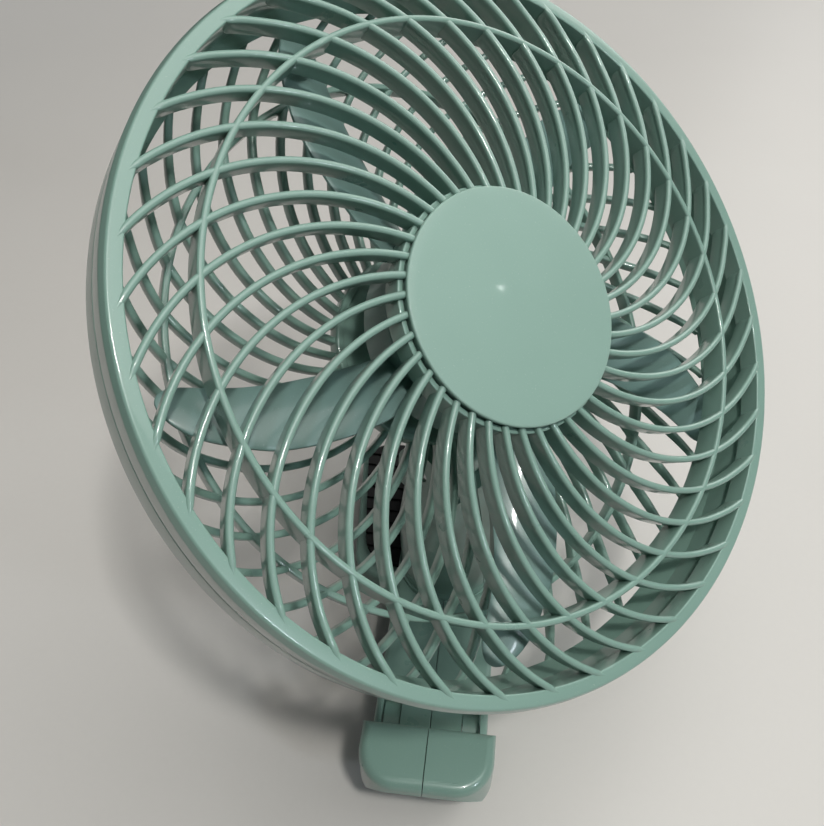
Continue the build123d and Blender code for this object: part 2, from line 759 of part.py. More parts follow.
# ====================================================================================================
# Base housing: the upper arm of the clip
# ====================================================================================================
thumb_rear = -thumb_front + thumb_length
body_front = thumb_rear - thumb_lap
bay_half = base_width / 2 - ear_inset
ear_outer = bay_half - running_gap
ear_inner = ear_outer - ear_width
lug_outer = ear_inner - running_gap
bay_rear = hinge_y + hinge_bay_rear
base_floor = base_bottom + wall
base_ceiling = base_top - wall
cavity_half = base_width / 2 - wall
board_top = thumb_bottom + wall + board_seat + board_size[2]
port_z = board_top + port_size[1] / 2
button_bottom = base_ceiling - running_gap - button_flange_height
screw_y = (bay_rear + screw_wall, jaw_end - screw_wall)
screw_z = (base_bottom + base_top) / 2
hinge_line = Plane((0, hinge_y, hinge_z), x_dir=(0, 1, 0), z_dir=(1, 0, 0))

with BuildPart() as base_body:
    body_length = jaw_end - body_front
    with BuildSketch(Plane.XY.offset(base_bottom)):
        with Locations((0, jaw_end - body_length / 2)):
            Rectangle(base_width, body_length)
    extrude(amount=base_top - base_bottom)
    fillet(base_body.edges().filter_by(Axis.Z).group_by(Axis.Y)[-1], radius=base_round)
    fillet(base_body.faces().sort_by(Axis.Z)[-1].edges(), radius=base_edge)
    with BuildSketch(Plane.XY.offset(thumb_bottom)):
        with Locations((0, thumb_rear - thumb_length / 2)):
            outline = Rectangle(thumb_width, thumb_length)
        fillet(outline.vertices().group_by(Axis.Y)[0], radius=thumb_front_corner)
        fillet(outline.vertices().group_by(Axis.Y)[-1], radius=thumb_rear_corner)
    extrude(amount=thumb_top - thumb_bottom)
    fillet(base_body.faces().sort_by(Axis.Z)[-1].edges(), radius=thumb_round)
    with BuildSketch(Plane.YZ):
        Polygon(
            (-thumb_front, thumb_bottom),
            (-thumb_front + thumb_rake, thumb_bottom),
            (-thumb_front, thumb_bottom + thumb_rake_height),
            align=None,
        )
    extrude(amount=thumb_width, both=True, mode=Mode.SUBTRACT)
    with BuildSketch(Plane.XY.offset(base_top)):
        Circle(collar_r)
    extrude(amount=collar_height)
    # hinge: shallow bay over it, slots for the lower arm's ears, room for the spring between two lugs
    with BuildSketch(Plane.XY.offset(base_top - hinge_bay_depth)):
        with Locations((0, (thumb_rear + bay_rear) / 2)):
            Rectangle(2 * bay_half, bay_rear - thumb_rear)
    extrude(amount=hinge_bay_depth, mode=Mode.SUBTRACT)
    ear_slot = 2 * (ear_r + running_gap)
    for side in (-1, 1):
        with BuildSketch(Plane.XY.offset(base_bottom)):
            with Locations((side * (bay_half + lug_outer) / 2, (thumb_rear + hinge_y + ear_slot / 2) / 2)):
                Rectangle(bay_half - lug_outer, hinge_y + ear_slot / 2 - thumb_rear)
            with Locations((side * (bay_half + lug_outer) / 2, thumb_rear - thumb_lap)):
                Rectangle(bay_half - lug_outer, 2 * thumb_lap)
        extrude(amount=thumb_bottom - base_bottom, mode=Mode.SUBTRACT)
        with BuildSketch(Plane.XY.offset(base_bottom)):
            with Locations((side * (bay_half + lug_outer) / 2, (thumb_rear + hinge_y + ear_slot / 2) / 2)):
                Rectangle(bay_half - lug_outer, hinge_y + ear_slot / 2 - thumb_rear)
        extrude(amount=base_top - base_bottom, mode=Mode.SUBTRACT)
        with BuildSketch(hinge_line.offset(side * spring_bay / 2)):
            Circle(lug_r)
        extrude(amount=side * (lug_outer - spring_bay / 2))
    with BuildSketch(hinge_line):
        Circle(spring_bay / 2)
        with Locations((-lug_r, -(hinge_z - base_bottom) / 2)):
            Rectangle(2 * lug_r, hinge_z - base_bottom + 2 * spring_rise)
        with Locations((0, -lug_r / 2)):
            Rectangle(spring_bay, lug_r)
    extrude(amount=spring_bay / 2, both=True, mode=Mode.SUBTRACT)
    with BuildSketch(hinge_line):
        Circle(clip_pin_r + pin_clearance)
    extrude(amount=base_width, both=True, mode=Mode.SUBTRACT)
    # inside: one bay for the cell and the swivel, one for the switch, one in the thumb end
    for start, end in (cell_bay, switch_bay):
        with BuildSketch(Plane.XY.offset(base_floor)):
            with Locations((0, (start + end) / 2)):
                Rectangle(2 * cavity_half, end - start)
        extrude(amount=base_ceiling - base_floor, mode=Mode.SUBTRACT)
    with BuildSketch(Plane.XY.offset(base_floor)):
        for side in (-1, 1):
            with Locations((side * (switch_board_size[0] / 2 - wall), button_y)):
                Rectangle(wall, switch_board_size[1])
    extrude(amount=switch_board_rise)
    with BuildSketch(Plane.XY.offset(thumb_bottom + wall)):
        with Locations((0, thumb_rear - (thumb_length - thumb_rake) / 2)):
            RectangleRounded(
                thumb_width - 2 * wall,
                thumb_length - thumb_rake - 2 * wall,
                hollow_corner,
            )
    extrude(amount=thumb_top - thumb_bottom - 2 * wall, mode=Mode.SUBTRACT)
    with BuildSketch(Plane.XY.offset(thumb_bottom + wall)):
        for side in (-1, 1):
            with Locations((side * (board_size[0] / 2 - wall), board_y)):
                Rectangle(wall, board_size[1])
    extrude(amount=board_seat)
    with BuildSketch(Plane((-thumb_width / 2, port_y, port_z), x_dir=(0, 1, 0), z_dir=(1, 0, 0))):
        SlotOverall(port_opening[0], port_opening[1])
    extrude(amount=wall, mode=Mode.SUBTRACT)
    with BuildSketch(Plane.XY.offset(base_ceiling)):
        Circle(spigot_r + pin_clearance)
    extrude(amount=wall + collar_height, mode=Mode.SUBTRACT)
    with BuildSketch(Plane.XY.offset(base_ceiling)):
        with Locations((0, button_y)):
            Circle(button_r + running_gap)
        with Locations((0, lens_y)):
            SlotOverall(lens_size[0] + 2 * seat_gap, lens_size[1] + 2 * seat_gap)
    extrude(amount=wall, mode=Mode.SUBTRACT)
    with BuildSketch(Plane.YZ):
        with Locations(*[(y, screw_z) for y in screw_y]):
            Circle(screw_r + seat_gap)
    extrude(amount=screw_length, both=True, mode=Mode.SUBTRACT)
    with BuildSketch(Plane.YZ.offset(screw_length / 2)):
        with Locations(*[(y, screw_z) for y in screw_y]):
            Circle(screw_head_r + running_gap)
    extrude(amount=base_width, mode=Mode.SUBTRACT)
split_in_half(base_body.part, Plane.YZ, ("base_shell_left", "base_shell_right"))

with BuildPart() as base_screws:
    with BuildSketch(Plane.YZ.offset(screw_length / 2)):
        with Locations(*[(y, screw_z) for y in screw_y]):
            Circle(screw_r)
    extrude(amount=-screw_length)
    with BuildSketch(Plane.YZ.offset(screw_length / 2)):
        with Locations(*[(y, screw_z) for y in screw_y]):
            Circle(screw_head_r)
    extrude(amount=screw_head_height)
base_screws.part.label = "base_screws"
export_step(base_screws.part, "parts/base_screws.step")

# --- upper jaw pad: rubber with grooves across, under the base's rear end ------------------------------
upper_pad_bottom = pad_top + jaw_pad_gap
upper_pad_end = jaw_end - jaw_pad_inset
with BuildPart() as upper_jaw_pad:
    with BuildSketch(Plane.XY.offset(upper_pad_bottom)):
        with Locations((0, (jaw_pad_start + upper_pad_end) / 2)):
            RectangleRounded(jaw_pad_width, upper_pad_end - jaw_pad_start, base_round)
    extrude(amount=base_bottom - upper_pad_bottom)
    with BuildSketch(Plane.XY.offset(upper_pad_bottom)):
        with Locations((0, (jaw_pad_start + upper_pad_end) / 2)):
            with GridLocations(0, pad_groove_pitch, 1, upper_grooves):
                Rectangle(jaw_pad_width, pad_groove_width)
    extrude(amount=pad_groove_depth, mode=Mode.SUBTRACT)
upper_jaw_pad.part.label = "upper_jaw_pad"
export_step(upper_jaw_pad.part, "parts/upper_jaw_pad.step")

# --- inside the base -----------------------------------------------------------------------------------
with BuildPart() as battery_cell:
    with BuildSketch(Plane.XY.offset(base_floor)):
        with Locations((0, cell_bay[0] + cell_gap + cell_size[1] / 2)):
            Rectangle(cell_size[0], cell_size[1])
    extrude(amount=cell_size[2])
    fillet(battery_cell.edges().filter_by(Axis.Y), radius=cell_round)
battery_cell.part.label = "battery_cell"
export_step(battery_cell.part, "parts/battery_cell.step")

with BuildPart() as circuit_board:
    with BuildSketch(Plane.XY.offset(board_top - board_size[2])):
        with Locations((0, board_y)):
            Rectangle(board_size[0], board_size[1])
    extrude(amount=board_size[2])
    with BuildSketch(Plane.XY.offset(board_top)):
        with Locations((chip_size[0], board_y)):
            Rectangle(chip_size[0], chip_size[1])
    extrude(amount=chip_size[2])
circuit_board.part.label = "circuit_board"
export_step(circuit_board.part, "parts/circuit_board.step")

with BuildPart() as charging_port:
    port_face = Plane((port_inset - thumb_width / 2, port_y, port_z), x_dir=(0, 1, 0), z_dir=(1, 0, 0))
    with BuildSketch(port_face):
        SlotOverall(port_size[0], port_size[1])
    extrude(amount=port_size[2])
    with BuildSketch(port_face):
        SlotOverall(port_size[0] - 2 * port_wall, port_size[1] - 2 * port_wall)
    extrude(amount=port_size[2] - port_wall, mode=Mode.SUBTRACT)
    with BuildSketch(port_face.offset(port_size[2] - port_wall)):
        Rectangle(port_tongue[0], port_tongue[1])
    extrude(amount=-port_tongue[2])
charging_port.part.label = "charging_port"
export_step(charging_port.part, "parts/charging_port.step")

with BuildPart() as switch_board:
    board_level = base_floor + switch_board_rise
    with BuildSketch(Plane.XY.offset(board_level)):
        with Locations((0, button_y)):
            Rectangle(switch_board_size[0], switch_board_size[1])
    extrude(amount=switch_board_size[2])
    with BuildSketch(Plane.XY.offset(board_level + switch_board_size[2])):
        with Locations((0, button_y)):
            Rectangle(switch_size, switch_size)
    extrude(amount=button_bottom - button_travel - switch_gap - board_level - switch_board_size[2])
switch_board.part.label = "switch_board"
export_step(switch_board.part, "parts/switch_board.step")

with BuildPart() as power_button:
    with BuildSketch(Plane.XY.offset(button_bottom)):
        with Locations((0, button_y)):
            Circle(button_r + button_flange)
    extrude(amount=button_flange_height)
    with BuildSketch(Plane.XY.offset(button_bottom)):
        with Locations((0, button_y)):
            Circle(button_r)
    extrude(amount=base_top + button_proud - button_bottom)
    chamfer(power_button.faces().sort_by(Axis.Z)[-1].edges(), length=button_edge)
power_button.part.label = "power_button"
export_step(power_button.part, "parts/power_button.step")

with BuildPart() as indicator_lens:
    with BuildSketch(Plane.XY.offset(base_ceiling)):
        with Locations((0, lens_y)):
            SlotOverall(lens_size[0], lens_size[1])
    extrude(amount=wall + lens_proud)
    with BuildSketch(Plane.XY.offset(base_ceiling - lens_flange)):
        with Locations((0, lens_y)):
            Rectangle(lens_size[0] + 2 * lens_flange, lens_size[1] + lens_flange)
    extrude(amount=lens_flange)
indicator_lens.part.label = "indicator_lens"
export_step(indicator_lens.part, "parts/indicator_lens.step")

# ====================================================================================================
# Clip: lower arm, sole, pad, pin and spring
# ====================================================================================================
def jaw_outline(front, rear, front_half, rear_half, front_corner, rear_corner):
    """The flared jaw plate's outline or its pad's: a trapezium with rounded corners."""
    with BuildSketch() as outline:
        Polygon((-front_half, front), (front_half, front), (rear_half, rear), (-rear_half, rear), align=None)
        fillet(outline.vertices().group_by(Axis.Y)[0], radius=front_corner)
        fillet(outline.vertices().group_by(Axis.Y)[-1], radius=rear_corner)
    return outline.sketch


plate_outline = jaw_outline(*plate_edges)
pad_outline = jaw_outline(*pad_edges)
pad_recess = jaw_outline(*[value + side * seat_gap for value, side in zip(pad_edges, (-1, 1, 1, 1, 0, 0))])

with BuildPart() as clip_lower_arm:
    with BuildSketch(Plane.XY.offset(arm_bottom)):
        add(plate_outline)
    extrude(amount=plate_top - arm_bottom)
    fillet(clip_lower_arm.faces().sort_by(Axis.Z)[-1].edges(), radius=plate_round)
    with BuildSketch(Plane.XY.offset(arm_bottom)):
        with Locations((0, (arm_front + plate_edges[1]) / 2)):
            Rectangle(arm_width, plate_edges[1] - arm_front)
        with Locations((0, -tongue_front + (arm_front + tongue_front) / 2)):
            tongue = Rectangle(tongue_width, arm_front + tongue_front)
        fillet(tongue.vertices().group_by(Axis.Y)[0], radius=thumb_rear_corner)
    extrude(amount=arm_top - arm_bottom)
    for side in (-1, 1):
        with BuildSketch(hinge_line.offset(side * ear_inner)):
            Circle(ear_r)
            with Locations((0, (arm_bottom - hinge_z) / 2)):
                Rectangle(2 * ear_r, hinge_z - arm_bottom)
        extrude(amount=side * ear_width)
    with BuildSketch(hinge_line):
        Circle(clip_pin_r + seat_gap)
    extrude(amount=base_width, both=True, mode=Mode.SUBTRACT)
    with BuildSketch(Plane.XY.offset(pad_seat)):
        add(pad_recess)
    extrude(amount=plate_top - pad_seat, mode=Mode.SUBTRACT)
    with BuildSketch(Plane.XY.offset(arm_bottom)):
        for width, start, end in sole_strips:
            with Locations((0, (start + end) / 2)):
                Rectangle(width + 2 * seat_gap, end - start + 2 * seat_gap)
    extrude(amount=sole_thickness - arm_bottom, mode=Mode.SUBTRACT)
clip_lower_arm.part.label = "clip_lower_arm"
export_step(clip_lower_arm.part, "parts/clip_lower_arm.step")

with BuildPart() as lower_jaw_pad:
    with BuildSketch(Plane.XY.offset(pad_seat)):
        add(pad_outline)
    extrude(amount=pad_top - pad_seat)
    with BuildSketch(Plane.XY.offset(pad_top)):
        with Locations((0, (pad_edges[0] + pad_edges[1]) / 2)):
            with GridLocations(0, pad_groove_pitch, 1, lower_grooves):
                Rectangle(2 * plate_edges[3], pad_groove_width)
    extrude(amount=-pad_groove_depth, mode=Mode.SUBTRACT)
lower_jaw_pad.part.label = "lower_jaw_pad"
export_step(lower_jaw_pad.part, "parts/lower_jaw_pad.step")

with BuildPart() as rubber_sole:
    with BuildSketch(Plane.XY):
        for width, start, end in sole_strips:
            with Locations((0, (start + end) / 2)):
                Rectangle(width, end - start)
    extrude(amount=sole_thickness)
rubber_sole.part.label = "rubber_sole"
export_step(rubber_sole.part, "parts/rubber_sole.step")

with BuildPart() as clip_pin:
    with BuildSketch(hinge_line):
        Circle(clip_pin_r)
    extrude(amount=base_width / 2 - pin_inset, both=True)
clip_pin.part.label = "clip_pin"
export_step(clip_pin.part, "parts/clip_pin.step")


# --- clip spring: wire wound round the pin, one leg under the thumb end, one on the tongue -------------
def on_coil(turned):
    """Point and direction of the wire after turning by an angle from the top of the coil."""
    x = spring_pitch * (turned - coil_angle / 2) / 360
    spoke = Vector(0, 1, 0).rotate(Axis.X, 90 - turned)
    ahead = Vector(0, 1, 0).rotate(Axis.X, -turned) * (2 * pi * spring_coil_r) + Vector(spring_pitch, 0, 0)
    return Vector(x, hinge_y, hinge_z) + spoke * spring_coil_r, ahead.normalized()


def biarc(start, start_way, end, end_way):
    """Two arcs that leave a point one way and reach another point the other way."""
    across = end - start
    bend = 2 * (1 - start_way.dot(end_way))
    pull = across.dot(start_way + end_way)
    reach = (-pull + sqrt(pull**2 + bend * across.dot(across))) / bend
    first, second = start + start_way * reach, end - end_way * reach
    joint = (first + second) / 2
    return TangentArc(start, joint, tangent=start_way), TangentArc(joint, end, tangent=second - first)


coil_angle = 360 * spring_turns + 180 - spring_leg_slope
coil_steps = 2 * spring_turns + 1
coil_points = [on_coil(coil_angle * step / coil_steps) for step in range(coil_steps + 1)]
with BuildPart() as clip_spring:
    with BuildLine() as wire:
        top, top_way = coil_points[0]
        foot, foot_way = coil_points[-1]
        Line(top - top_way * spring_leg, top)
        for (start, start_way), (end, end_way) in zip(coil_points, coil_points[1:]):
            biarc(start, start_way, end, end_way)
        Line(foot, foot + foot_way * spring_leg)
    with BuildSketch(Plane(top - top_way * spring_leg, z_dir=top_way)):
        RegularPolygon(spring_wire_r, spring_sides)
    sweep()
clip_spring.part.label = "clip_spring"
export_step(clip_spring.part, "parts/clip_spring.step")

wire_line = wire.wires()[0]
wire_points = [wire_line @ (step / wire_steps) for step in range(wire_steps + 1)]
apart = int(wire_steps * pi * spring_coil_r / wire_line.length)
least_gap = min(
    (wire_points[i] - wire_points[j]).length
    for i in range(wire_steps + 1)
    for j in range(i + apart, wire_steps + 1)
) - 2 * spring_wire_r
print("clip spring: least gap between its turns", round(least_gap, 2), "mm")
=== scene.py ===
import json
import logging
import math
from abc import ABC, abstractmethod
from dataclasses import dataclass, field
from enum import Enum
from functools import cached_property
from typing import Any, Sequence

import bmesh
import bpy
import numpy as np
from mathutils import Matrix, Vector


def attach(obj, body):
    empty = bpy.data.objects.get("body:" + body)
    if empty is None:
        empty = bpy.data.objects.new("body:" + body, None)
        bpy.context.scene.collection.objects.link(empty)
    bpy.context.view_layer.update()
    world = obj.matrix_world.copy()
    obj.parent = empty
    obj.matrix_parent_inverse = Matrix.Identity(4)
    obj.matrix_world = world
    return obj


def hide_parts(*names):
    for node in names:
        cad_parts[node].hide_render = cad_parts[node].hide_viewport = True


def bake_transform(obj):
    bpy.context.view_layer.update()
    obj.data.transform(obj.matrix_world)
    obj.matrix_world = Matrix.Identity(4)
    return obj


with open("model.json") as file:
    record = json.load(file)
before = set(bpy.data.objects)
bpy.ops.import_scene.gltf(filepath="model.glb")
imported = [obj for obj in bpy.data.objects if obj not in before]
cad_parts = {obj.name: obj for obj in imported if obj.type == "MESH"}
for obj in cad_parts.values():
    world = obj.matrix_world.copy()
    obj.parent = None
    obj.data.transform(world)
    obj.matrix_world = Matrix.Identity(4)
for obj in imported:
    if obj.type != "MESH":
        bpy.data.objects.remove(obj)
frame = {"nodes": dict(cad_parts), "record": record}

Pair = tuple[float, float]
Triple = tuple[float, float, float]

MM = 0.001
TURN = 2 * math.pi
BLACK = (0.0, 0.0, 0.0)
BACKDROP = (0.58, 0.575, 0.56)
SKY_LIGHT = (0.038, 0.04, 0.042)
NOISE_MEAN = 0.5
WELD_M = 1e-6
SLIVER_M = 1e-7
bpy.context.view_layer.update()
JOINTS = {joint["name"]: joint for joint in frame["record"]["behaviour"]["joints"]}
log = logging.getLogger("clip_fan")


# ==============================
# Shader building blocks
# ==============================
class Value:
    """A single shader number: Python arithmetic on it adds Math nodes to its tree."""

    def __init__(self, tree: "Tree", socket: Any) -> None:
        """Wrap an output socket of a tree."""
        self.tree = tree
        self.socket = socket

    def _math(self, operation: str, left: Any, right: Any) -> "Value":
        """Add one Math node.

        Args:
            operation: the node's operation, such as MULTIPLY.
            left: first operand, a Value or a number.
            right: second operand, a Value or a number.

        Returns:
            The node's result.
        """
        node = self.tree.node("ShaderNodeMath", {"operation": operation}, {0: left, 1: right})
        return Value(self.tree, node.outputs[0])

    def __add__(self, other: Any) -> "Value":
        """Sum."""
        return self._math("ADD", self, other)

    def __radd__(self, other: Any) -> "Value":
        """Reflected sum."""
        return self._math("ADD", other, self)

    def __sub__(self, other: Any) -> "Value":
        """Difference."""
        return self._math("SUBTRACT", self, other)

    def __rsub__(self, other: Any) -> "Value":
        """Reflected difference."""
        return self._math("SUBTRACT", other, self)

    def __mul__(self, other: Any) -> "Value":
        """Product."""
        return self._math("MULTIPLY", self, other)

    def __rmul__(self, other: Any) -> "Value":
        """Reflected product."""
        return self._math("MULTIPLY", other, self)

    def clamped(self, low: float = 0.0, high: float = 1.0) -> "Value":
        """Keep the value between two bounds."""
        return self._math("MINIMUM", self._math("MAXIMUM", self, low), high)


class Tree:
    """The node tree of a material or a world, with one method that adds any node."""

    def __init__(self, owner: bpy.types.Material | bpy.types.World) -> None:
        """Start an empty tree.

        Args:
            owner: the material or world that it belongs to.
        """
        owner.use_nodes = True
        self.tree = owner.node_tree
        self.tree.nodes.clear()

    def node(self, kind: str, settings: dict[str, Any], inputs: dict[Any, Any]) -> bpy.types.Node:
        """Add a node.

        Args:
            kind: the node's type name.
            settings: properties to set first, such as a Math node's operation.
            inputs: values or links of its sockets, by name or number.

        Returns:
            The new node.
        """
        node = self.tree.nodes.new(kind)
        for key, value in settings.items():
            setattr(node, key, value)
        for key, value in inputs.items():
            socket = node.inputs[key]
            if isinstance(value, Value):
                self.tree.links.new(value.socket, socket)
            elif isinstance(value, bpy.types.NodeSocket):
                self.tree.links.new(value, socket)
            else:
                socket.default_value = value
        return node

    @cached_property
    def place(self) -> bpy.types.NodeSocket:
        """Object coordinates."""
        return self.node("ShaderNodeTexCoord", {}, {}).outputs["Object"]

    def ray(self, kind: str) -> Value:
        """1 for rays of a kind, such as Camera, and 0 for others."""
        return Value(self, self.node("ShaderNodeLightPath", {}, {}).outputs[f"Is {kind} Ray"])

    def stretched(self, scale: Triple) -> bpy.types.NodeSocket:
        """Object coordinates stretched by a Mapping node."""
        return self.node("ShaderNodeMapping", {}, {"Vector": self.place, "Scale": scale}).outputs[0]

    def noise(self, scale: float, detail: float = 2.0, place: Any = None) -> Value:
        """Noise on object coordinates, 0 to 1, at a scale in cycles per metre."""
        inputs = {"Vector": place or self.place, "Scale": scale, "Detail": detail}
        return Value(self, self.node("ShaderNodeTexNoise", {}, inputs).outputs[0])

    def mix(self, factor: Any, first: Any, second: Any) -> bpy.types.NodeSocket:
        """A colour between two colours; a colour Mix node has its factor at 0 and the colours at 6 and 7."""
        node = self.node("ShaderNodeMix", {"data_type": "RGBA"}, {0: factor, 6: first, 7: second})
        return node.outputs[2]

    def shades(self, factor: Any, colour: Triple, ends: Pair) -> bpy.types.NodeSocket:
        """A colour between two shares of itself."""
        return self.mix(factor, rgba(colour, ends[0]), rgba(colour, ends[1]))

    def bump(self, height: Any, strength: float, distance_mm: float) -> bpy.types.NodeSocket:
        """A normal bent by a height value."""
        inputs = {"Strength": strength, "Distance": distance_mm * MM, "Height": height}
        return self.node("ShaderNodeBump", {}, inputs).outputs[0]

    def surface(self, inputs: dict[str, Any]) -> None:
        """End the tree in a Principled shader with these inputs."""
        shader = self.node("ShaderNodeBsdfPrincipled", {}, inputs)
        self.node("ShaderNodeOutputMaterial", {}, {"Surface": shader.outputs[0]})


def rgba(colour: Sequence[float], share: float = 1.0) -> tuple[float, float, float, float]:
    """An opaque colour, dimmed or brightened by a share."""
    return (colour[0] * share, colour[1] * share, colour[2] * share, 1.0)


# ==============================
# Finishes
# ==============================
class Look(ABC):
    """A finish that can be made into a material. Scales are in cycles per metre and colours are linear."""

    def make(self, name: str) -> bpy.types.Material:
        """Make the material.

        Args:
            name: its name.

        Returns:
            The new material.
        """
        material = bpy.data.materials.new(name)
        self.fill(Tree(material))
        return material

    @abstractmethod
    def fill(self, tree: Tree) -> None:
        """Add the finish's nodes.

        Args:
            tree: the material's empty tree.
        """


@dataclass(frozen=True)
class MouldedPlastic(Look):
    """Injection-moulded plastic: nearly even colour, faint flow marks, fine orange peel, thin dust.

    Attributes:
        colour: base colour.
        roughness: mean roughness of the surface.
        coat: weight of the glossy skin.
        coat_roughness: roughness of that skin.
        peel_scale, peel_mm, peel_bump: scale, depth and strength of the orange peel.
        peel_share: its share in the bump, where the rest is the handled patches'.
        flow_scale: scale of the flow marks.
        flow_shades: shares of the colour between which they vary.
        handled_scale: scale of the patches that hands have touched.
        handled_change: how much the roughness varies over them.
        dust_scale: scale of the dust.
        dust_from, dust_gain: noise past which a speck lies, and how fast it gets dense past that.
        dust_hides, dust_most: share of the colour that dense dust hides, and the most that any does.
        dust_dulls: roughness that dense dust adds.
    """

    colour: Triple
    roughness: float = 0.3
    coat: float = 0.35
    coat_roughness: float = 0.05
    peel_scale: float = 900.0
    peel_mm: float = 0.012
    peel_bump: float = 0.35
    peel_share: float = 0.6
    flow_scale: float = 22.0
    flow_shades: Pair = (0.93, 1.06)
    handled_scale: float = 90.0
    handled_change: float = 0.14
    dust_scale: float = 2600.0
    dust_from: float = 0.66
    dust_gain: float = 6.0
    dust_hides: float = 0.35
    dust_most: float = 0.3
    dust_dulls: float = 0.08

    def fill(self, tree: Tree) -> None:
        """Shade the colour by the flow marks, lay dust on it and bend the normal by peel and patches.

        Args:
            tree: the material's empty tree.
        """
        flow = tree.noise(self.flow_scale, 3.0)
        handled = tree.noise(self.handled_scale, 4.0)
        dust = (tree.noise(self.dust_scale) - self.dust_from).clamped() * self.dust_gain
        hidden = (dust * self.dust_hides).clamped(0.0, self.dust_most)
        body = tree.shades(flow, self.colour, self.flow_shades)
        pale = rgba([(1 + channel) / 2 for channel in self.colour])
        height = tree.noise(self.peel_scale) * self.peel_share + handled * (1 - self.peel_share)
        worn = self.roughness + (handled - NOISE_MEAN) * self.handled_change
        tree.surface({
            "Base Color": tree.mix(hidden, body, pale),
            "Roughness": worn + dust * self.dust_dulls,
            "Coat Weight": self.coat,
            "Coat Roughness": self.coat_roughness,
            "Normal": tree.bump(height, self.peel_bump, self.peel_mm),
        })


@dataclass(frozen=True)
class SoftRubber(Look):
    """Moulded rubber: almost black, dull, with a fine pebbled grain and grey rubbed spots.

    Attributes:
        colour: base colour.
        roughness: mean roughness.
        specular: specular level.
        grain_scale, grain_mm, grain_bump: scale, depth and strength of the pebbles.
        rubbed_scale: scale of the rubbed spots.
        rubbed_from: noise past which a spot is rubbed.
        rubbed_gain: how fast it gets pale past that.
        rubbed_change: how much the roughness varies with it.
        worn_share: the rubbed colour as a share of the base colour.
        worn_grey: grey added to that.
    """

    colour: Triple
    roughness: float = 0.62
    specular: float = 0.4
    grain_scale: float = 1800.0
    grain_mm: float = 0.05
    grain_bump: float = 0.5
    rubbed_scale: float = 60.0
    rubbed_from: float = 0.45
    rubbed_gain: float = 1.6
    rubbed_change: float = 0.2
    worn_share: float = 2.2
    worn_grey: float = 0.004

    def fill(self, tree: Tree) -> None:
        """Pale the rubbed spots and bend the normal by the grain.

        Args:
            tree: the material's empty tree.
        """
        rubbed = tree.noise(self.rubbed_scale, 5.0)
        worn = rgba([channel * self.worn_share + self.worn_grey for channel in self.colour])
        spots = (rubbed - self.rubbed_from).clamped() * self.rubbed_gain
        tree.surface({
            "Base Color": tree.mix(spots, rgba(self.colour), worn),
            "Roughness": self.roughness + (rubbed - NOISE_MEAN) * self.rubbed_change,
            "Specular IOR Level": self.specular,
            "Normal": tree.bump(tree.noise(self.grain_scale), self.grain_bump, self.grain_mm),
        })


@dataclass(frozen=True)
class WorkedMetal(Look):
    """Metal with fine tool marks along one direction.

    Attributes:
        colour: base colour.
        roughness: mean roughness.
        marks: scale of the tool marks along each axis.
        metallic: how metallic it is.
        marks_change: how much the roughness varies over the marks.
        marks_mm, marks_bump: their depth and strength.
        stain_scale: scale of the stains.
        stain_shades: shares of the colour between which they vary.
    """

    colour: Triple
    roughness: float = 0.3
    marks: Triple = (200.0, 4000.0, 4000.0)
    metallic: float = 1.0
    marks_change: float = 0.2
    marks_mm: float = 0.01
    marks_bump: float = 0.25
    stain_scale: float = 120.0
    stain_shades: Pair = (0.85, 1.1)

    def fill(self, tree: Tree) -> None:
        """Shade the colour by stains, and vary roughness and normal by the tool marks.

        Args:
            tree: the material's empty tree.
        """
        lines = tree.noise(1.0, place=tree.stretched(self.marks))
        tree.surface({
            "Base Color": tree.shades(tree.noise(self.stain_scale, 3.0), self.colour, self.stain_shades),
            "Metallic": self.metallic,
            "Roughness": self.roughness + (lines - NOISE_MEAN) * self.marks_change,
            "Normal": tree.bump(lines, self.marks_bump, self.marks_mm),
        })


@dataclass(frozen=True)
class LacqueredBoard(Look):
    """Circuit board: coloured lacquer over faint copper tracks.

    Attributes:
        colour: lacquer colour.
        track: colour where the lacquer lies over copper.
        track_scale: scale of the tracks.
        roughness: least roughness.
        unevenness: how much the roughness varies.
        uneven_scale: scale on which it varies.
        coat: weight of the glossy skin.
    """

    colour: Triple
    track: Triple
    track_scale: float = 260.0
    roughness: float = 0.35
    unevenness: float = 0.1
    uneven_scale: float = 300.0
    coat: float = 0.4

    def fill(self, tree: Tree) -> None:
        """Colour the joints of a brick pattern as tracks.

        Args:
            tree: the material's empty tree.
        """
        bricks = tree.node("ShaderNodeTexBrick", {}, {"Vector": tree.place, "Scale": self.track_scale})
        tree.surface({
            "Base Color": tree.mix(bricks.outputs["Fac"], rgba(self.colour), rgba(self.track)),
            "Roughness": self.roughness + tree.noise(self.uneven_scale) * self.unevenness,
            "Coat Weight": self.coat,
        })


@dataclass(frozen=True)
class ClearGuide(Look):
    """Light guide of clear plastic with a faint frost.

    Attributes:
        colour: tint.
        ior: index of refraction.
        clearness: weight of the light that passes through.
        roughness: least roughness, and as much again where the frost is thickest.
        frost_scale: scale of the frost.
        frost_shades: shares of the colour between which it varies.
    """

    colour: Triple
    ior: float = 1.49
    clearness: float = 0.6
    roughness: float = 0.12
    frost_scale: float = 700.0
    frost_shades: Pair = (0.9, 1.0)

    def fill(self, tree: Tree) -> None:
        """Vary colour and roughness by the frost.

        Args:
            tree: the material's empty tree.
        """
        frost = tree.noise(self.frost_scale)
        tree.surface({
            "Base Color": tree.shades(frost, self.colour, self.frost_shades),
            "Roughness": self.roughness + frost * self.roughness,
            "Transmission Weight": self.clearness,
            "IOR": self.ior,
        })


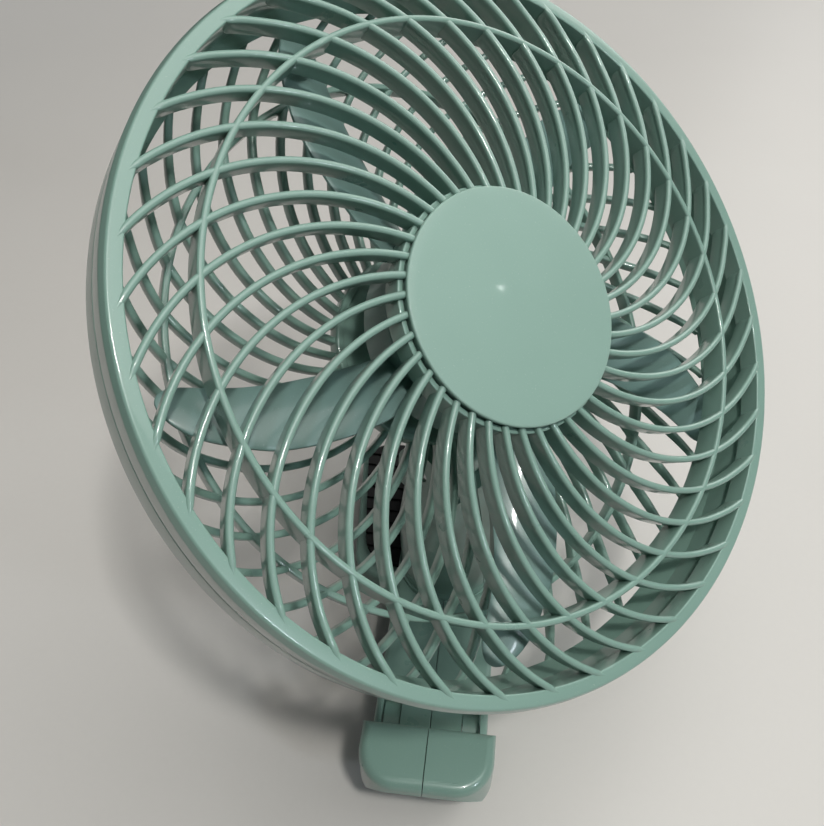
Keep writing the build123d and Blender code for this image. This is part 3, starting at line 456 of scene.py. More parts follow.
@dataclass(frozen=True)
class TableTop(Look):
    """Pale studio floor with a soft sheen and a faint mottle, which turns into the backdrop far from the fan.

    Attributes:
        colour: base colour.
        shades: shares of it between which the mottle varies.
        bounce: share of it that scattered rays meet, instead of the colour that is seen.
        near: distance in metres where it starts to turn into the backdrop.
        fade: metres over which it does so.
        roughness: least roughness.
        unevenness: how much the roughness varies.
        specular: specular level.
        cloud_scale, cloud_share: scale of the mottle's clouds, and their share in it.
        fine_scale: scale of its grain.
    """

    colour: Triple
    shades: Pair = (0.95, 1.04)
    bounce: float = 0.3
    near: float = 0.45
    fade: float = 1.2
    roughness: float = 0.34
    unevenness: float = 0.12
    specular: float = 0.35
    cloud_scale: float = 9.0
    cloud_share: float = 0.7
    fine_scale: float = 420.0

    def fill(self, tree: Tree) -> None:
        """Mix three colours: the mottle where rays see it, the dimmer bounce, and the backdrop far away.

        Args:
            tree: the material's empty tree.
        """
        fine = tree.noise(self.fine_scale, 3.0)
        tone = tree.noise(self.cloud_scale, 4.0) * self.cloud_share + fine * (1 - self.cloud_share)
        camera = tree.ray("Camera")
        seen = (camera + tree.ray("Glossy") + tree.ray("Transmission")).clamped()
        top = tree.mix(seen, rgba(self.colour, self.bounce), tree.shades(tone, self.colour, self.shades))
        length = tree.node("ShaderNodeVectorMath", {"operation": "LENGTH"}, {0: tree.place})
        far = ((Value(tree, length.outputs["Value"]) - self.near) * (1 / self.fade)).clamped()
        tree.surface({
            "Base Color": tree.mix(far, top, rgba(BLACK)),
            "Emission Color": tree.mix(far * camera, rgba(BLACK), rgba(BACKDROP)),
            "Emission Strength": 1.0,
            "Roughness": self.roughness + fine * self.unevenness,
            "Specular IOR Level": self.specular,
        })


class Finish(Enum):
    """The object's finishes, one for each material slot, and the floor's."""

    SHELL = ("shell", MouldedPlastic((0.235, 0.38, 0.32), 0.3, 0.6))
    CAP = ("cap", MouldedPlastic((0.27, 0.42, 0.357), 0.42, 0.25))
    BLADES = ("blades", MouldedPlastic((0.17, 0.275, 0.25), 0.34, 0.25))
    PAD = ("pad", SoftRubber((0.006, 0.0065, 0.0065), 0.75))
    SOLE = ("sole", SoftRubber((0.05, 0.056, 0.052), 0.7))
    STEEL = ("steel", WorkedMetal((0.56, 0.56, 0.57)))
    SPRING_STEEL = ("spring_steel", WorkedMetal((0.36, 0.37, 0.39), 0.34))
    MAGNET = ("magnet", WorkedMetal((0.06, 0.06, 0.065), 0.5, metallic=0.3))
    BRONZE = ("bronze", WorkedMetal((0.5, 0.35, 0.16), 0.4))
    WINDING = ("winding", WorkedMetal((0.46, 0.2, 0.09), 0.35, (3000.0, 3000.0, 200.0)))
    DARK_PLASTIC = ("dark_plastic", MouldedPlastic((0.04, 0.046, 0.045), 0.45, 0.1))
    BOARD = ("board", LacqueredBoard((0.02, 0.12, 0.05), (0.05, 0.2, 0.08)))
    CELL = ("cell", WorkedMetal((0.6, 0.62, 0.65), 0.42))
    LENS = ("lens", ClearGuide((0.85, 0.92, 0.9)))
    TABLE = ("table", TableTop((0.66, 0.643, 0.608)))

    @property
    def slot(self) -> str:
        """Name of the material slot."""
        return self.value[0]

    def material(self) -> bpy.types.Material:
        """The finish's material, made once."""
        name = self.slot + "_finish"
        return bpy.data.materials.get(name) or self.value[1].make(name)


# ==============================
# Surfaces worked out on grids
# ==============================
@dataclass(frozen=True)
class Place:
    """A frame in the row's space that local millimetres are laid out in.

    Attributes:
        origin: its origin, in metres.
        axes: its unit axes as the rows of a matrix.
    """

    origin: np.ndarray
    axes: np.ndarray

    def out(self, local: np.ndarray) -> np.ndarray:
        """Local points in millimetres to row points in metres: origin plus coordinates times the axes."""
        return self.origin + (np.asarray(local) * MM) @ self.axes


class Surface:
    """Grids of points that are gathered into one mesh object."""

    def __init__(self, name: str, place: Place, finish: Finish) -> None:
        """Start an empty piece.

        Args:
            name: the piece's name.
            place: the frame of its points.
            finish: its finish.
        """
        self.name = name
        self.place = place
        self.finish = finish
        self.points: list[np.ndarray] = []
        self.faces: list[list[int]] = []
        self.count = 0

    def grid(self, points: np.ndarray, close_rows: bool = False, close_columns: bool = False) -> np.ndarray:
        """Add a grid of points joined by four-cornered faces.

        Args:
            points: array of rows by columns by three local coordinates.
            close_rows: whether the last row joins the first.
            close_columns: whether the last column joins the first.

        Returns:
            The points' numbers, as rows by columns.
        """
        rows, columns = points.shape[:2]
        numbers = np.arange(rows * columns).reshape(rows, columns) + self.count
        index = np.vstack([numbers, numbers[:1]]) if close_rows else numbers
        index = np.hstack([index, index[:, :1]]) if close_columns else index
        corners = (index[:-1, :-1], index[1:, :-1], index[1:, 1:], index[:-1, 1:])
        self.faces += np.stack(corners, axis=-1).reshape(-1, 4).tolist()
        self.points.append(points.reshape(-1, 3))
        self.count += rows * columns
        return numbers

    def tube(self, points: np.ndarray) -> None:
        """Add a closed outline carried along a path, with both ends closed.

        Args:
            points: array of places along the path by points of the outline by three local coordinates.
        """
        numbers = self.grid(points, close_columns=True)
        self.faces.append(numbers[0].tolist())
        self.faces.append(numbers[-1][::-1].tolist())

    def tubes_round(self, points: np.ndarray, count: int) -> None:
        """Add a tube and its copies evenly round the local z axis: at angle a, (x, y) goes to
        (x cos a - y sin a, x sin a + y cos a).

        Args:
            points: the first tube's points.
            count: tubes in the round.
        """
        for turn in TURN * np.arange(count) / count:
            c, s = math.cos(turn), math.sin(turn)
            self.tube(points @ np.array([[c, s, 0], [-s, c, 0], [0, 0, 1]]))

    def turned(self, outline: np.ndarray, steps: int = 288, closed: bool = True) -> None:
        """Add an outline turned about the local z axis: each point goes to
        (radius cos a, radius sin a, height) for every angle a.

        Args:
            outline: array of (radius, height) points.
            steps: copies of the outline in the round.
            closed: whether its last point joins its first.
        """
        angle = np.linspace(0, TURN, steps, endpoint=False)
        around = np.stack([np.cos(angle), np.sin(angle)], axis=-1)
        points = np.empty((len(outline), steps, 3))
        points[:, :, :2] = outline[:, None, :1] * around[None]
        points[:, :, 2] = outline[:, 1:]
        self.grid(points, close_rows=closed, close_columns=True)

    def finished(self, body: str, replaces: Sequence[str], sharp_deg: float = 38.0,
                 onward: tuple[str, np.ndarray] | None = None) -> bpy.types.Object:
        """Make the mesh and its object, parent it to its body's empty, or bake a sprung piece's place into its
        points, and hide the nodes that it stands for.

        Args:
            body: the body that it rides on.
            replaces: the nodes that it stands for.
            sharp_deg: edges bent by more than this stay sharp.
            onward: for a sprung piece, a second body with two points; only whether it is given is read: the piece
                is then left where it is, not parented to body or to this second body, and its body and points are
                not used.

        Returns:
            The new object.
        """
        mesh = bpy.data.meshes.new(self.name)
        mesh.from_pydata(self.place.out(np.concatenate(self.points)).tolist(), [], self.faces)
        work = bmesh.new()
        work.from_mesh(mesh)
        bmesh.ops.remove_doubles(work, verts=work.verts, dist=WELD_M)
        bmesh.ops.dissolve_degenerate(work, edges=work.edges, dist=SLIVER_M)
        bmesh.ops.recalc_face_normals(work, faces=work.faces)
        work.to_mesh(mesh)
        work.free()
        mesh.shade_smooth()
        mesh.set_sharp_from_angle(angle=math.radians(sharp_deg))
        piece = bpy.data.objects.new(self.name, mesh)
        bpy.context.scene.collection.objects.link(piece)
        mesh.materials.append(self.finish.material())
        if onward:
            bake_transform(piece)
        else:
            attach(piece, body)
        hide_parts(*replaces)
        log.info("%s: %d faces on %s", self.name, len(mesh.polygons), body)
        return piece


def rounded(corners: Sequence[Triple], steps: int = 6, closed: bool = True) -> np.ndarray:
    """An outline through corners, each replaced by an arc of its own radius: the arc's centre lies on the
    corner's bisector at the radius over the sine of half the angle, and its points turn evenly.

    Args:
        corners: (x, y, radius) for each corner.
        steps: points on each arc.
        closed: whether the outline closes; an open one keeps its first and last point.

    Returns:
        Array of (x, y) points.
    """
    count = len(corners)
    out: list[np.ndarray] = []
    for number, (x, y, radius) in enumerate(corners):
        here = np.array([x, y])
        if radius <= 0 or (not closed and number in (0, count - 1)):
            out.append(here[None])
            continue
        before = np.array(corners[number - 1][:2]) - here
        after = np.array(corners[(number + 1) % count][:2]) - here
        before /= np.linalg.norm(before)
        after /= np.linalg.norm(after)
        half = math.acos(float(np.clip(before @ after, -1, 1))) / 2
        middle = (before + after) / np.linalg.norm(before + after)
        centre = here + middle * radius / math.sin(half)
        start = here + before * radius / math.tan(half) - centre
        end = here + after * radius / math.tan(half) - centre
        first = math.atan2(start[1], start[0])
        swing = (math.atan2(end[1], end[0]) - first + math.pi) % TURN - math.pi
        angle = first + swing * np.linspace(0, 1, steps)
        out.append(centre + radius * np.stack([np.cos(angle), np.sin(angle)], axis=-1))
    return np.concatenate(out)


def smooth_step(x: np.ndarray, low: float, high: float) -> np.ndarray:
    """0 below low, 1 above high, and three t squared minus two t cubed between."""
    t = np.clip((x - low) / (high - low), 0, 1)
    return t * t * (3 - 2 * t)


# ==============================
# Head
# ==============================
@dataclass
class SpiralRibs:
    """The spiral that both grilles share: each rib is an arc, in plan, about a centre off the fan's axis.

    Attributes:
        arc_r: the arc's radius.
        arc_offset: its centre's distance from the axis.
        ring_r: radius at which a rib's start angle is counted.
        count: ribs in the round.
    """

    arc_r: float = 54.5
    arc_offset: float = 55.95
    ring_r: float = 78.0
    count: int = 40

    def bearing(self, r: np.ndarray | float) -> np.ndarray:
        """Angle at the axis between the arc's centre and its point at a radius, by the law of cosines."""
        reach = r**2 + self.arc_offset**2 - self.arc_r**2
        return np.arccos(reach / (2 * r * self.arc_offset))

    def lay(self, piece: Surface, r: np.ndarray, top: np.ndarray, outline: np.ndarray, width: np.ndarray,
            start_deg: float, hand: int, stretch: np.ndarray) -> None:
        """Carry a rib's outline along its arc and copy it round: a point is the arc's point plus the
        outline's first coordinate across the arc and its second one down from the rib's top.

        Args:
            piece: surface that the ribs join.
            r: radii along the rib.
            top: height of its crest at those radii.
            outline: (across, height) points of the section, crest at height 0.
            width: share of the outline's width at those radii.
            start_deg: angle of the first rib at the ring.
            hand: 1 for the front's direction, -1 for its mirror image.
            stretch: share of the outline's depth at those radii.
        """
        angle = math.radians(start_deg) + hand * (self.bearing(self.ring_r) - self.bearing(r))
        path = np.stack([r * np.cos(angle), r * np.sin(angle)], axis=-1)
        along = np.gradient(path, axis=0)
        along /= np.linalg.norm(along, axis=1, keepdims=True)
        across = np.stack([-along[:, 1], along[:, 0]], axis=-1)
        section = np.empty((len(r), len(outline), 3))
        section[:, :, :2] = path[:, None] + across[:, None] * (outline[None, :, :1] * width[:, None, None])
        section[:, :, 2] = top[:, None] + outline[None, :, 1] * stretch[:, None]
        piece.tubes_round(section, self.count)


@dataclass
class RibSection:
    """Section of a front rib: a rounded crest, a small step under it and a web that thins towards its foot.

    Attributes, in millimetres:
        width: across the crest.
        depth: of the whole rib.
        crest_drop: height of the crest's rounding.
        side_foot: depth where the crest's straight side ends.
        web_top: depth where the web begins.
        web_in: how far the web's top stands inside the crest's side.
        waist_in: the same just over the web's foot.
        foot_in: the same at its foot.
        foot_bevel: height of the foot's bevel.
        crest_points: points on each half of the crest.
    """

    width: float = 1.8
    depth: float = 6.0
    crest_drop: float = 0.8
    side_foot: float = 1.2
    web_top: float = 1.42
    web_in: float = 0.26
    waist_in: float = 0.32
    foot_in: float = 0.55
    foot_bevel: float = 0.5
    crest_points: int = 7

    def outline(self) -> np.ndarray:
        """Lay out the section: each half of the crest is a quarter of an ellipse, and the rest is straight.

        Returns:
            Array of (across, height) points, with the crest at height 0.
        """
        half = self.width / 2
        turn = np.linspace(0, math.pi / 2, self.crest_points)
        crest = np.stack([half * np.sin(turn), -self.crest_drop * (1 - np.cos(turn))], axis=-1)
        side = np.array([
            [half, -self.side_foot],
            [half - self.web_in, -self.web_top],
            [half - self.waist_in, self.foot_bevel - self.depth],
            [half - self.foot_in, -self.depth],
        ])
        right = np.concatenate([crest, side])
        return np.concatenate([right, right[:0:-1] * [-1, 1]])


@dataclass
class FrontGrille:
    """Front moulding: rim, spiral ribs, ring and hub cup, with the cap in the cup.

    Attributes, in millimetres with heights over the rim plane:
        place: the head's frame.
        spiral: the ribs' route.
        rib: the ribs' section.
        rim_r, rim_inner_r, rim_height: the rim's outer and inner radius, and its height.
        rim_lip: depth of its inner face.
        rim_bevel, rim_bevel_drop: width and height of the bevel on its outer edge.
        skirt: thickness of the skirt that laps the rear moulding.
        crown: rise of the ribs' dome in the middle.
        start_deg: angle of the first rib at the ring.
        rib_lap: how far the ribs start inside the hub's wall.
        rib_fine_r, rib_fine_step: radius past which a rib has finer steps, and the step there.
        rib_places: places along a rib, before and after that radius.
        rib_end: radius where the ribs end in the rim.
        rib_fade: how far inside the rim they begin to taper.
        rib_swell, rib_swell_r: rise of the crests before the rim, and the radius where it begins.
        rib_sink, rib_proud: how far the crests sink into the rim, and their least height over it.
        rib_thinning, rib_shallowing: share of width and depth that they lose in the rim.
        ring_half, ring_depth, ring_proud: the ring's half width, depth and height over the dome.
        hub_r, hub_wall: the hub cup's outer radius and wall.
        cup_drop, cup_depth, cup_floor: its edge under the dome, its wall's depth, and its floor's height.
        cap_r, cap_edge, cap_flange: the cap's radius, its edge's height and its flange's thickness.
        cap_gap: the cap's clearance in the cup.
        cap_crown, cap_slope: rise of its dome, and of the flat just inside its edge.
        dome_rings, hub_steps: rings of points in the dome, and points round the hub and the cap.
    """

    place: Place
    spiral: SpiralRibs = field(default_factory=SpiralRibs)
    rib: RibSection = field(default_factory=RibSection)
    rim_r: float = 98.0
    rim_inner_r: float = 93.4
    rim_height: float = 8.8
    rim_lip: float = 6.2
    rim_bevel: float = 1.0
    rim_bevel_drop: float = 2.4
    skirt: float = 2.0
    crown: float = 5.1
    start_deg: float = 3.7
    rib_lap: float = 1.4
    rib_fine_r: float = 90.0
    rib_fine_step: float = 0.8
    rib_places: tuple[int, int] = (40, 12)
    rib_end: float = 94.8
    rib_fade: float = 0.4
    rib_swell: float = 0.4
    rib_swell_r: float = 88.0
    rib_sink: float = 0.3
    rib_proud: float = 0.03
    rib_thinning: float = 0.62
    rib_shallowing: float = 0.7
    ring_half: float = 0.85
    ring_depth: float = 7.6
    ring_proud: float = 0.05
    hub_r: float = 32.2
    hub_wall: float = 1.4
    cup_drop: float = 1.5
    cup_depth: float = 6.5
    cup_floor: float = 2.0
    cap_r: float = 31.0
    cap_edge: float = 5.6
    cap_flange: float = 1.1
    cap_gap: float = 0.4
    cap_crown: float = 0.9
    cap_slope: float = 0.04
    dome_rings: int = 24
    hub_steps: int = 192

    def crest(self, r: np.ndarray | float) -> np.ndarray | float:
        """Height of the ribs' dome at a radius: the crown times one minus the square of the radius share."""
        return self.crown * (1 - (r / self.rim_inner_r) ** 2)

    def build(self) -> list[bpy.types.Object]:
        """Build the moulding and the cap.

        Returns:
            The new pieces.
        """
        grille = Surface("spiral_front_grille", self.place, Finish.SHELL)
        self.lay_ribs(grille)
        skirt_r = self.rim_r - self.skirt
        # Each corner is (radius, height, rounding), here and in the other turned outlines.
        rim = [
            (self.rim_inner_r, -self.rim_lip, 0.3),
            (self.rim_inner_r, 0.0, 0.4),
            (self.rim_r - self.rim_bevel, 0.0, 0.9),
            (self.rim_r, -self.rim_bevel_drop, 1.8),
            (self.rim_r, -self.rim_height, 0.35),
            (skirt_r, -self.rim_height, 0.15),
            (skirt_r, -self.rim_lip, 0.15),
        ]
        grille.turned(rounded(rim, steps=9))
        ring_top = self.crest(self.spiral.ring_r) + self.ring_proud
        ring_foot = ring_top - self.ring_depth
        ring = [
            (self.spiral.ring_r - self.ring_half, ring_foot, 0.2),
            (self.spiral.ring_r - self.ring_half, ring_top, 0.7),
            (self.spiral.ring_r + self.ring_half, ring_top, 0.7),
            (self.spiral.ring_r + self.ring_half, ring_foot, 0.2),
        ]
        grille.turned(rounded(ring, steps=7))
        cup_r = self.hub_r - self.hub_wall
        cup_top = self.crest(self.hub_r) - self.cup_drop
        cup_foot = cup_top - self.cup_depth
        cup = [
            (0.0, 0.0, 0.0),
            (cup_r, 0.0, 0.0),
            (cup_r, cup_foot, 0.2),
            (self.hub_r, cup_foot, 0.3),
            (self.hub_r, cup_top, 0.3),
            (cup_r, cup_top, 0.25),
            (cup_r, self.cup_floor, 0.0),
            (0.0, self.cup_floor, 0.0),
        ]
        grille.turned(rounded(cup, closed=False), steps=self.hub_steps, closed=False)
        return [grille.finished("fan_head", ["front_grille"]), self.build_cap()]

    def lay_ribs(self, grille: Surface) -> None:
        """Lay the ribs on the dome, with crests that swell and then sink into the rim by smooth steps.

        Args:
            grille: the moulding's surface.
        """
        r = np.concatenate([
            np.linspace(self.hub_r - self.rib_lap, self.rib_fine_r, self.rib_places[0]),
            np.linspace(self.rib_fine_r + self.rib_fine_step, self.rib_end, self.rib_places[1]),
        ])
        lap = smooth_step(r, self.rim_inner_r - self.rib_fade, self.rib_end)
        swell = self.rib_swell * smooth_step(r, self.rib_swell_r, self.rim_inner_r)
        top = self.crest(r) + swell - self.rib_sink * lap
        top = np.maximum(top, self.rib_sink * (1 - lap) + self.rib_proud)
        width = 1 - self.rib_thinning * lap**2
        stretch = 1 - self.rib_shallowing * lap
        self.spiral.lay(grille, r, top, self.rib.outline(), width, self.start_deg, 1, stretch)

    def build_cap(self) -> bpy.types.Object:
        """Build the cap: a plug in the cup under a thin flange that covers the cup's wall, with a rounded
        edge and a crown that rises as one minus the square of the radius share.

        Returns:
            The new piece.
        """
        plug_r = self.hub_r - self.hub_wall - self.cap_gap
        under = self.cap_edge - self.cap_flange
        corners = [
            (0.0, self.cup_floor, 0.0),
            (plug_r, self.cup_floor, 0.1),
            (plug_r, under, 0.1),
            (self.cap_r, under, 0.2),
            (self.cap_r, self.cap_edge, 0.5),
            (0.0, self.cap_edge + self.cap_slope, 0.0),
        ]
        edge = rounded(corners, steps=7, closed=False)[:-1]
        r = np.linspace(edge[-1, 0], 0.0, self.dome_rings)[1:]
        dome = self.cap_edge + self.cap_slope / 2 + self.cap_crown * (1 - (r / self.cap_r) ** 2)
        cap = Surface("domed_centre_cap", self.place, Finish.CAP)
        outline = np.concatenate([edge, np.stack([r, dome], axis=-1)])
        cap.turned(outline, steps=self.hub_steps, closed=False)
        return cap.finished("fan_head", ["centre_cap"], sharp_deg=50.0)


@dataclass
class RearGrille:
    """Rear moulding: wall, bowl of mirrored ribs, ring and hub flange.

    Attributes, in millimetres with heights over the rim plane:
        place: the head's frame.
        spiral: the ribs' route.
        rim_r, rim_height: the front rim's outer radius and height.
        parting: the gap that shows between the two mouldings.
        wall_inner_r, wall_foot: the wall's inner radius, and the depth where it turns into the bowl.
        wall_bend: how much deeper it turns on the outside.
        bowl_outer, bowl_inner: radius and height of the turned-in edge's two corners.
        spigot_r, spigot_top: the spigot that the front's skirt laps: its outer radius and top.
        start_deg: angle of the first rib at the ring.
        knee_r: radius of the bowl's knee, where the ring runs.
        ring_half, ring_proud, ring_sink: the ring's half width, and how far it passes the ribs up and down.
        rib_width, rib_depth, rib_round, rib_foot_round: the ribs' section and the roundings of its edges.
        rib_lap: how far the ribs start inside the hub's flange.
        rib_fine_r, rib_end: where a rib's finer steps begin, and where it ends in the wall.
        rib_places: places along a rib, before and after the knee.
        rib_shallow_r, rib_shallowing: radii over which the ribs get shallower, and by what share.
        radii, crests: radius and height of points on the ribs' crests.
        hub_r, plate_r, bore_r: outer radius of the hub's flange, and the plate's outer radius and bore.
        plate, flange: top and foot of the plate and of the flange.
    """

    place: Place
    spiral: SpiralRibs = field(default_factory=SpiralRibs)
    rim_r: float = 98.0
    rim_height: float = 8.8
    parting: float = 0.3
    wall_inner_r: float = 94.4
    wall_foot: float = 14.5
    wall_bend: float = 3.0
    bowl_outer: Pair = (95.0, -22.0)
    bowl_inner: Pair = (91.8, -20.4)
    spigot_r: float = 95.8
    spigot_top: float = -6.9
    start_deg: float = 1.9
    knee_r: float = 77.4
    ring_half: float = 0.9
    ring_proud: float = 0.2
    ring_sink: float = 0.5
    rib_width: float = 1.9
    rib_depth: float = 3.6
    rib_round: float = 0.7
    rib_foot_round: float = 0.5
    rib_lap: float = 0.5
    rib_fine_r: float = 78.6
    rib_end: float = 92.8
    rib_places: tuple[int, int] = (30, 14)
    rib_shallow_r: Pair = (84.0, 92.6)
    rib_shallowing: float = 0.45
    radii: tuple[float, ...] = (28.0, 40.0, 49.0, 60.0, 70.0, 77.4, 82.0, 85.5, 89.5, 92.6)
    crests: tuple[float, ...] = (-41.2, -40.4, -39.2, -37.2, -34.9, -33.0, -29.7, -26.6, -22.8, -19.6)
    hub_r: float = 28.5
    plate_r: float = 26.3
    bore_r: float = 5.05
    plate: Pair = (-41.2, -43.8)
    flange: Pair = (-39.8, -44.7)

    def build(self) -> list[bpy.types.Object]:
        """Build the moulding.

        Returns:
            The new piece.
        """
        grille = Surface("spiral_rear_grille", self.place, Finish.SHELL)
        self.lay_ribs(grille)
        parting_z = -self.rim_height - self.parting
        wall = [
            (self.rim_r, parting_z, 0.35),
            (self.rim_r, -self.wall_foot - self.wall_bend, 2.8),
            (*self.bowl_outer, 0.5),
            (*self.bowl_inner, 0.4),
            (self.wall_inner_r, -self.wall_foot, 1.0),
            (self.wall_inner_r, self.spigot_top, 0.1),
            (self.spigot_r, self.spigot_top, 0.1),
            (self.spigot_r, parting_z, 0.1),
        ]
        grille.turned(rounded(wall, steps=8))
        knee_z = float(np.interp(self.knee_r, self.radii, self.crests))
        ring_foot = knee_z - self.rib_depth - self.ring_sink
        ring = [
            (self.knee_r - self.ring_half, ring_foot, 0.4),
            (self.knee_r - self.ring_half, knee_z + self.ring_proud, 0.5),
            (self.knee_r + self.ring_half, knee_z + self.ring_proud, 0.5),
            (self.knee_r + self.ring_half, ring_foot, 0.4),
        ]
        grille.turned(rounded(ring, steps=5))
        hub = [
            (self.bore_r, self.plate[0], 0.0),
            (self.plate_r, self.plate[0], 0.5),
            (self.plate_r, self.flange[0], 0.3),
            (self.hub_r, self.flange[0], 0.6),
            (self.hub_r, self.flange[1], 0.3),
            (self.plate_r, self.flange[1], 0.1),
            (self.plate_r, self.plate[1], 0.3),
            (self.bore_r, self.plate[1], 0.0),
        ]
        grille.turned(rounded(hub, steps=5), steps=160)
        return [grille.finished("fan_head", ["rear_grille"])]

    def lay_ribs(self, grille: Surface) -> None:
        """Lay the ribs in the bowl, whose crests follow straight lines between the named points.

        Args:
            grille: the moulding's surface.
        """
        r = np.concatenate([
            np.linspace(self.hub_r - self.rib_lap, self.knee_r, self.rib_places[0]),
            np.linspace(self.rib_fine_r, self.rib_end, self.rib_places[1]),
        ])
        top = np.interp(r, self.radii, self.crests)
        half = self.rib_width / 2
        corners = [
            (half, 0.0, self.rib_round),
            (half, -self.rib_depth, self.rib_foot_round),
            (-half, -self.rib_depth, self.rib_foot_round),
            (-half, 0.0, self.rib_round),
        ]
        stretch = 1 - self.rib_shallowing * smooth_step(r, *self.rib_shallow_r)
        outline = rounded(corners, steps=4)
        self.spiral.lay(grille, r, top, outline, np.ones_like(r), self.start_deg, -1, stretch)


@dataclass
class Blades:
    """Rotor: a hub with swept, twisted blades whose tips are rounded.

    Attributes, in millimetres and degrees:
        place: the head's frame.
        count: blades.
        stations: radius, leading edge's angle and depth, trailing edge's angle and depth.
        thickness: blade thickness.
        camber: rise of the section's middle for each millimetre of chord.
        root_r: radius where a blade starts inside the hub's wall.
        tip_r: radius of the tip.
        tip_cut: how far short of it the last section is.
        tip_round_from: radius where the chord begins to close on the tip.
        tip_power: power of the curve that closes it: 2 for an ellipse, more for a squarer tip.
        edge_power: power of the sine that draws the faces together at the edges.
        hub_r, hub_wall, hub_front, hub_height: the hub's radius, wall, front face's depth, and height.
        boss_r, boss_height, bore_r: the boss on the shaft.
        blade_places: places along a blade, before and past tip_round_from.
        tip_ease: share of the way round the tip's quarter turn where the second ones begin.
        section_points: points round the section.
    """

    place: Place
    count: int = 5
    stations: tuple[tuple[float, ...], ...] = (
        (27.0, 168.0, 18.0, 195.0, 9.5),
        (38.0, 168.0, 15.6, 191.5, 8.2),
        (49.0, 167.5, 14.0, 187.0, 7.6),
        (58.8, 166.6, 13.2, 183.0, 7.9),
        (68.6, 165.2, 13.0, 179.0, 8.6),
        (80.0, 163.0, 13.4, 172.8, 9.6),
        (88.5, 161.2, 14.0, 168.4, 10.6),
    )
    thickness: float = 1.5
    camber: float = 0.06
    root_r: float = 26.5
    tip_r: float = 88.5
    tip_cut: float = 0.05
    tip_round_from: float = 79.0
    tip_power: float = 2.6
    edge_power: float = 0.4
    hub_r: float = 28.0
    hub_wall: float = 2.0
    hub_front: float = 9.0
    hub_height: float = 15.0
    boss_r: float = 5.0
    boss_height: float = 6.0
    bore_r: float = 1.55
    blade_places: tuple[int, int] = (30, 18)
    tip_ease: float = 0.08
    section_points: int = 44

    def blade(self) -> np.ndarray:
        """Lay out one blade: at each radius the section runs from the leading to the trailing edge, its
        middle raised by a parabola, and its two faces stand half the thickness off it along the normal,
        drawn together at the edges by a root of the sine; the chord closes on a rounded tip.

        Returns:
            Array of radii by points of the section by three local coordinates.
        """
        tip = self.tip_r - self.tip_round_from
        ease = np.sin(np.linspace(self.tip_ease, 1, self.blade_places[1]) * math.pi / 2)
        r = np.concatenate([
            np.linspace(self.root_r, self.tip_round_from, self.blade_places[0]),
            self.tip_round_from + (tip - self.tip_cut) * ease,
        ])
        radii, *columns = np.transpose(self.stations)
        lead, lead_z, trail, trail_z = (np.interp(r, radii, column) for column in columns)
        share = np.clip((r - self.tip_round_from) / tip, 0, 1)
        keep = np.sqrt(np.clip(1 - share**self.tip_power, 0, 1))
        loop = np.linspace(0, TURN, self.section_points, endpoint=False)
        s = 0.5 - 0.5 * np.cos(loop) * keep[:, None]
        angle = np.radians(lead[:, None] + (trail - lead)[:, None] * s)
        chord = np.radians(trail - lead) * r
        rise = self.camber * chord[:, None] * 4 * s * (1 - s)
        z = -(lead_z[:, None] + (trail_z - lead_z)[:, None] * s) + rise
        middle = np.stack([r[:, None] * np.cos(angle), r[:, None] * np.sin(angle), z], axis=-1)
        slope = np.arctan2(lead_z - trail_z, chord)[:, None]
        normal = np.stack([
            np.sin(slope) * np.sin(angle),
            -np.sin(slope) * np.cos(angle),
            np.cos(slope) * np.ones_like(angle),
        ], axis=-1)
        side = np.sign(np.sin(loop)) * np.abs(np.sin(loop)) ** self.edge_power
        return middle + normal * (self.thickness / 2 * side[None, :, None] * np.sqrt(keep)[:, None, None])

    def build(self) -> list[bpy.types.Object]:
        """Build hub and blades.

        Returns:
            The new piece.
        """
        rotor = Surface("swept_fan_blades", self.place, Finish.BLADES)
        rotor.tubes_round(self.blade(), self.count)
        front = -self.hub_front
        back = front - self.hub_height
        inside = front - self.hub_wall
        boss_foot = front - self.boss_height
        hub = [
            (self.bore_r, front, 0.0),
            (self.hub_r, front, 2.4),
            (self.hub_r, back, 0.4),
            (self.hub_r - self.hub_wall, back, 0.4),
            (self.hub_r - self.hub_wall, inside, 0.8),
            (self.boss_r, inside, 0.5),
            (self.boss_r, boss_foot, 0.3),
            (self.bore_r, boss_foot, 0.0),
        ]
        rotor.turned(rounded(hub, steps=7), steps=128)
        return [rotor.finished("rotor", ["fan_blades"])]


